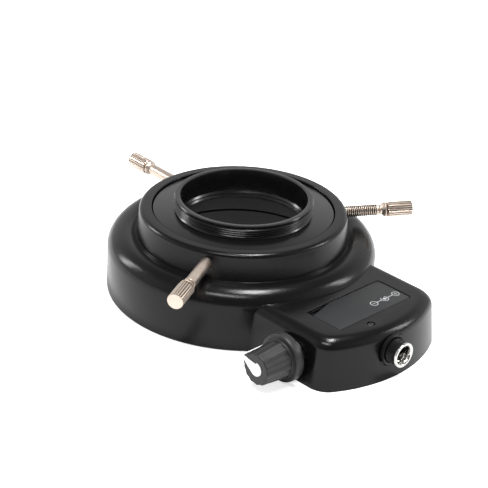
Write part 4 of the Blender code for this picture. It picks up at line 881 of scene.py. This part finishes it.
# Turned brass, left bare: yellow, with faint tool marks.
bare_brass, tree, shader = new_material("bare_turned_brass")
shader.inputs["Metallic"].default_value = 1.0
cloud = object_noise(tree, 1.0, 3.0)
vary_colour(tree, shader, cloud, "a8873f", "bd9a4e")
vary_gloss(tree, shader, cloud, 0.28, 0.4)
emboss(tree, shader, object_noise(tree, 0.2), 0.15, 0.01)
dress(bare_brass, "thread_insert_1", "thread_insert_2", "thread_insert_3", "dimmer_bushing")

# Dimmer.
# A potentiometer held in the wall of the control box by a washer and a nut, with a fluted push-on
# knob of matt black plastic. Its white pointer lies on the face and runs back along a ridge.
dress(zinc_steel, "dimmer_washer", "dimmer_nut", "dimmer_shaft")
dress(green_lacquer, "dimmer_case")
FLUTES = 13
FLUTE_STEPS = 8
FLUTE_DEPTH = 0.3
GRIP_RADIUS = 5.9
POINTER_TURN = math.radians(157.0)
section = [(3.3, 40.2), (3.3, 34.1), (6.2, 34.1), (6.2, 32.2), (7.8, 32.2), (8.05, 32.3), (8.15, 32.55),
           (8.08, 34.6), (8.0, 34.95), (7.8, 35.15), (7.5, 35.2), (6.75, 35.2), (6.65, 35.3), (6.6, 35.9),
           (6.5, 36.0), (6.3, 36.0), (6.2, 37.0), (6.07, 38.2), (5.95, 39.4), (5.82, 40.6), (5.7, 41.8),
           (5.57, 43.0), (5.4, 44.9)]
section += round_corner(4.9, 44.95, 0.5, 0, 90, 5) + [(4.2, 45.45)]
fluted = turned("fluted_knob", section, FLUTES * FLUTE_STEPS, still)


def on_grip(spot):
    """Whether a point is on the knob's grip, ahead of its skirt."""
    return spot.z > 35.95 * MM and 4.6 * MM < spot.xy.length < 6.4 * MM


pick(fluted)
bpy.ops.object.mode_set(mode="EDIT")
for step in range(1, FLUTE_STEPS):
    choose(lambda spot: on_grip(spot) and phase(spot, FLUTES, FLUTE_STEPS) == step)
    share = 1.0 - FLUTE_DEPTH * (1 - math.cos(TURN * step / FLUTE_STEPS)) / 2 / GRIP_RADIUS
    bpy.ops.transform.resize(value=(share, share, 1.0), center_override=(0.0, 0.0, 0.0))
bpy.ops.object.mode_set(mode="OBJECT")
settle(fluted, dimmer_place)
aim = dimmer_place @ Matrix.Rotation(POINTER_TURN, 4, "Z")
ridge = extruded("pointer_ridge", [(4.2, -2.6), (6.3, -0.5), (6.3, 0.5), (4.2, 2.6)], 36.2, 45.42, aim)
boolean(fluted, ridge, "UNION")
smooth(fluted, 40.0)
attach(fluted, "dimmer")
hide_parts("dimmer_knob")

# Matt black ABS with a fine etched skin, which spreads the light almost evenly.
matt_abs, tree, shader = new_material("matt_black_abs")
cloud = object_noise(tree, 3.0, 3.0)
vary_colour(tree, shader, cloud, "1a1a1b", "202021")
vary_gloss(tree, shader, cloud, 0.42, 0.5)
emboss(tree, shader, object_noise(tree, 0.3, 3.0), 0.25, 0.03, 0.15)
shader.inputs["Specular IOR Level"].default_value = 0.45
give(fluted, matt_abs)

outline = [(6.4, 0.22), (5.3, 0.6)] + round_corner(-0.1, -0.3, 2.3, 75, 290, 24)
outline += [(0.74, -1.72), (1.7, -1.58), (3.2, -1.13), (5.1, -0.75), (6.4, -0.22)]
pointer = extruded("white_pointer", outline, 45.3, 45.75, aim)
boolean(pointer, extruded("pointer_line", oblong(5.9, -0.66, 6.42, 0.1), 36.3, 45.74, aim), "UNION")
break_edges(pointer, 0.06, 40.0)
smooth(pointer)
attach(pointer, "dimmer")
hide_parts("knob_pointer")

# White ABS, moulded: clean white with a soft shine.
white_abs, tree, shader = new_material("white_abs_inlay")
cloud = object_noise(tree, 1.5)
vary_colour(tree, shader, cloud, "f2f2f0", "fafaf8")
vary_gloss(tree, shader, cloud, 0.35, 0.45)
emboss(tree, shader, object_noise(tree, 0.25), 0.08, 0.01)
give(pointer, white_abs)

# Power socket.
# A round panel socket: a black nylon barrel with a fine outside thread, a ring nut at its root, a
# nickel-plated sleeve with a thick bright lip, a centre pin and two springs along the bore's floor.
BARREL_PITCH = 0.5
BARREL_THREAD_FOOT = 76.2
BARREL_THREAD_END = 79.0
section = [(1.3, 63.1), (4.1, 63.1), (4.3, 63.3), (4.3, 71.1), (4.5, 71.1), (4.5, 71.7), (4.1, 71.7),
           (4.1, BARREL_THREAD_FOOT)]
height = BARREL_THREAD_FOOT
while height + BARREL_PITCH < BARREL_THREAD_END:
    section += [(4.1, height), (3.96, height + 0.17), (4.1, height + 0.34)]
    height += BARREL_PITCH
section += [(4.1, 79.05), (3.98, 79.2), (3.5, 79.2), (3.5, 67.6), (1.3, 67.6)]
barrel = turned("socket_barrel", section, 96, socket_place, closed=True)
smooth(barrel, 25.0)
section = [(4.4, 74.7), (5.1, 74.7), (5.2, 74.8), (5.2, 75.85), (5.05, 76.0), (4.5, 76.0), (4.4, 75.9)]
ring_nut = turned("socket_ring_nut", section, 96, socket_place, closed=True)
smooth(ring_nut, 25.0)
section = [(2.85, 74.3), (3.2, 74.3), (3.2, 79.5), (4.08, 79.5), (4.2, 79.62), (4.2, 80.0), (4.12, 80.2),
           (3.92, 80.3), (3.6, 80.3), (3.35, 80.2), (3.15, 79.9), (3.0, 79.2), (2.9, 77.5)]
sleeve = turned("socket_lip", section, 96, socket_place, closed=True)
smooth(sleeve, 40.0)
section = [(1.0, 62.1), (1.0, 76.6), (0.9, 76.9), (0.6, 77.15), (0.25, 77.2)]
pin = turned("socket_centre_pin", section, 40, socket_place)
smooth(pin, 40.0)
springs = []
for low, high in ((-52, -8), (8, 52)):
    outline = round_corner(0.0, 0.0, 2.8, low, high, 8) + round_corner(0.0, 0.0, 2.2, high, low, 8)
    leaf = extruded("leaf", outline, 74.6, 78.9, socket_place)
    break_edges(leaf, 0.12)
    springs.append(leaf)
springs = join_all(springs, "socket_springs")
smooth(springs, 40.0)

# Black nylon, moulded: deep black with a low shine.
black_nylon, tree, shader = new_material("black_moulded_nylon")
cloud = object_noise(tree, 2.0)
vary_colour(tree, shader, cloud, "0b0b0c", "101011")
vary_gloss(tree, shader, cloud, 0.3, 0.4)
emboss(tree, shader, object_noise(tree, 0.25), 0.12, 0.02)
shader.inputs["Specular IOR Level"].default_value = 0.2
give(barrel, black_nylon)
give(ring_nut, black_nylon)

# Bright nickel on the socket: a clean, cool mirror with a light haze.
cool_nickel, tree, shader = new_material("bright_nickel_on_socket")
shader.inputs["Metallic"].default_value = 1.0
cloud = object_noise(tree, 1.0, 3.0)
vary_colour(tree, shader, cloud, "c4c3c0", "d6d5d2")
vary_gloss(tree, shader, cloud, 0.14, 0.22)
emboss(tree, shader, object_noise(tree, 0.2), 0.08, 0.01)
for piece in (sleeve, pin, springs):
    give(piece, cool_nickel)
for piece, node, slot_name in ((barrel, "socket_body", "socket_black"),
                               (ring_nut, "socket_nut", "socket_nut_black"),
                               (sleeve, "socket_sleeve", "socket_nickel"),
                               (pin, "socket_pin", "socket_nickel"),
                               (springs, "socket_sleeve", "socket_nickel")):
    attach(piece, "housing")
    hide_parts(node)

# Roof plate.
# A thin dark film plate, stuck in a shallow recess of the roof, with one corner clipped. It shows
# the usual sign for which way round the plug's poles are, printed in pale ink.
PLATE_FIT = 0.3
PLATE_CORNER = 0.9
PLATE_FACE = 17.2
INK_TOP = 17.22
low_x = PLATE_X - PLATE_LONG / 2 + PLATE_FIT
high_x = PLATE_X + PLATE_LONG / 2 - PLATE_FIT
low_y = PLATE_Y - PLATE_WIDE / 2 + PLATE_FIT
high_y = PLATE_Y + PLATE_WIDE / 2 - PLATE_FIT
outline = [(low_x + 2.6, low_y)]
outline += round_corner(high_x - PLATE_CORNER, low_y + PLATE_CORNER, PLATE_CORNER, -90, 0, 5)
outline += round_corner(high_x - PLATE_CORNER, high_y - PLATE_CORNER, PLATE_CORNER, 0, 90, 5)
outline += round_corner(low_x + PLATE_CORNER, high_y - PLATE_CORNER, PLATE_CORNER, 90, 180, 5)
outline += [(low_x, low_y + 10.0)]
plate = extruded("roof_plate", outline, 16.8, PLATE_FACE)
break_edges(plate, 0.05)
smooth(plate)
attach(plate, "housing")
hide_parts("label_plate")

# Dark grey polyester film: even, a little lighter and flatter than the moulding round it.
dark_film, tree, shader = new_material("dark_polyester_film")
cloud = object_noise(tree, 5.0)
vary_colour(tree, shader, cloud, "1e1f20", "262728")
vary_gloss(tree, shader, cloud, 0.42, 0.5)
emboss(tree, shader, object_noise(tree, 0.3), 0.15, 0.015)
shader.inputs["Specular IOR Level"].default_value = 0.35
give(plate, dark_film)


def printed_ring(x, y, radius, breadth):
    """A thin printed ring on the plate, in millimetres."""
    half = breadth / 2
    return turned("printed_ring", oblong(radius - half, PLATE_FACE, radius + half, INK_TOP), 48,
                  upright(x, y), closed=True)


def printed_bar(x, y, length, breadth):
    """A thin printed bar along the plate's length, in millimetres."""
    half = breadth / 2
    return extruded("printed_bar", oblong(x - half, y, x + half, y + length), PLATE_FACE, INK_TOP)


SIGN_X = 59.6
LEFT_RING = 2.2
MIDDLE_ARC = LEFT_RING + 5.1
RIGHT_RING = LEFT_RING + 10.4
PEN = 0.25
marks = [printed_ring(SIGN_X, LEFT_RING, 1.25, PEN), printed_ring(SIGN_X, RIGHT_RING, 1.25, PEN),
         printed_bar(SIGN_X, LEFT_RING + 1.35, 2.3, PEN), printed_bar(SIGN_X, LEFT_RING + 5.9, 3.1, PEN),
         printed_bar(SIGN_X, LEFT_RING - 0.7, 1.4, 0.2), printed_bar(SIGN_X, LEFT_RING + 9.7, 1.4, 0.2)]
outline = oblong(SIGN_X - 0.7, RIGHT_RING - 0.1, SIGN_X + 0.7, RIGHT_RING + 0.1)
marks.append(extruded("printed_dash", outline, PLATE_FACE, INK_TOP))
outline = round_corner(SIGN_X, MIDDLE_ARC, 1.45, 215, 505, 24)
outline += round_corner(SIGN_X, MIDDLE_ARC, 1.2, 505, 215, 24)
marks.append(extruded("printed_arc", outline, PLATE_FACE, INK_TOP))
marks.append(turned("printed_dot", [(0.62, PLATE_FACE), (0.62, INK_TOP)], 32, upright(SIGN_X, MIDDLE_ARC)))
marks = join_all(marks, "polarity_sign")
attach(marks, "housing")

# Screen ink, pale grey: thin, so the film's tone comes through unevenly.
pale_ink, tree, shader = new_material("pale_screen_ink")
cloud = object_noise(tree, 0.5)
vary_colour(tree, shader, cloud, "9c9e9f", "b6b8b9")
vary_gloss(tree, shader, cloud, 0.5, 0.65)
give(marks, pale_ink)

# Roof screw.
# A tiny steel screw with a black oxide skin and a slot across its head. It is turned, and it sits
# in a counterbored hole of the roof, beside the plate.
section = [(0.6, 15.8), (0.6, 16.7), (1.05, 16.7), (1.05, 17.0), (0.95, 17.12), (0.8, 17.15)]
roof_screw = turned("roof_set_screw", section, 40, roof_place)
slit = extruded("driver_slit", oblong(66.6, -8.66, 69.0, -8.34), 16.95, 17.5)
boolean(roof_screw, slit, "DIFFERENCE")
smooth(roof_screw)
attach(roof_screw, "housing")
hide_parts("roof_screw")

# Steel with a black oxide skin: dark, with worn bright spots.
black_steel, tree, shader = new_material("black_oxide_steel")
shader.inputs["Metallic"].default_value = 1.0
cloud = object_noise(tree, 0.6, 4.0)
vary_colour(tree, shader, cloud, "2c2c2e", "6a6a6c")
vary_gloss(tree, shader, cloud, 0.3, 0.5)
emboss(tree, shader, object_noise(tree, 0.2), 0.15, 0.01)
give(roof_screw, black_steel)
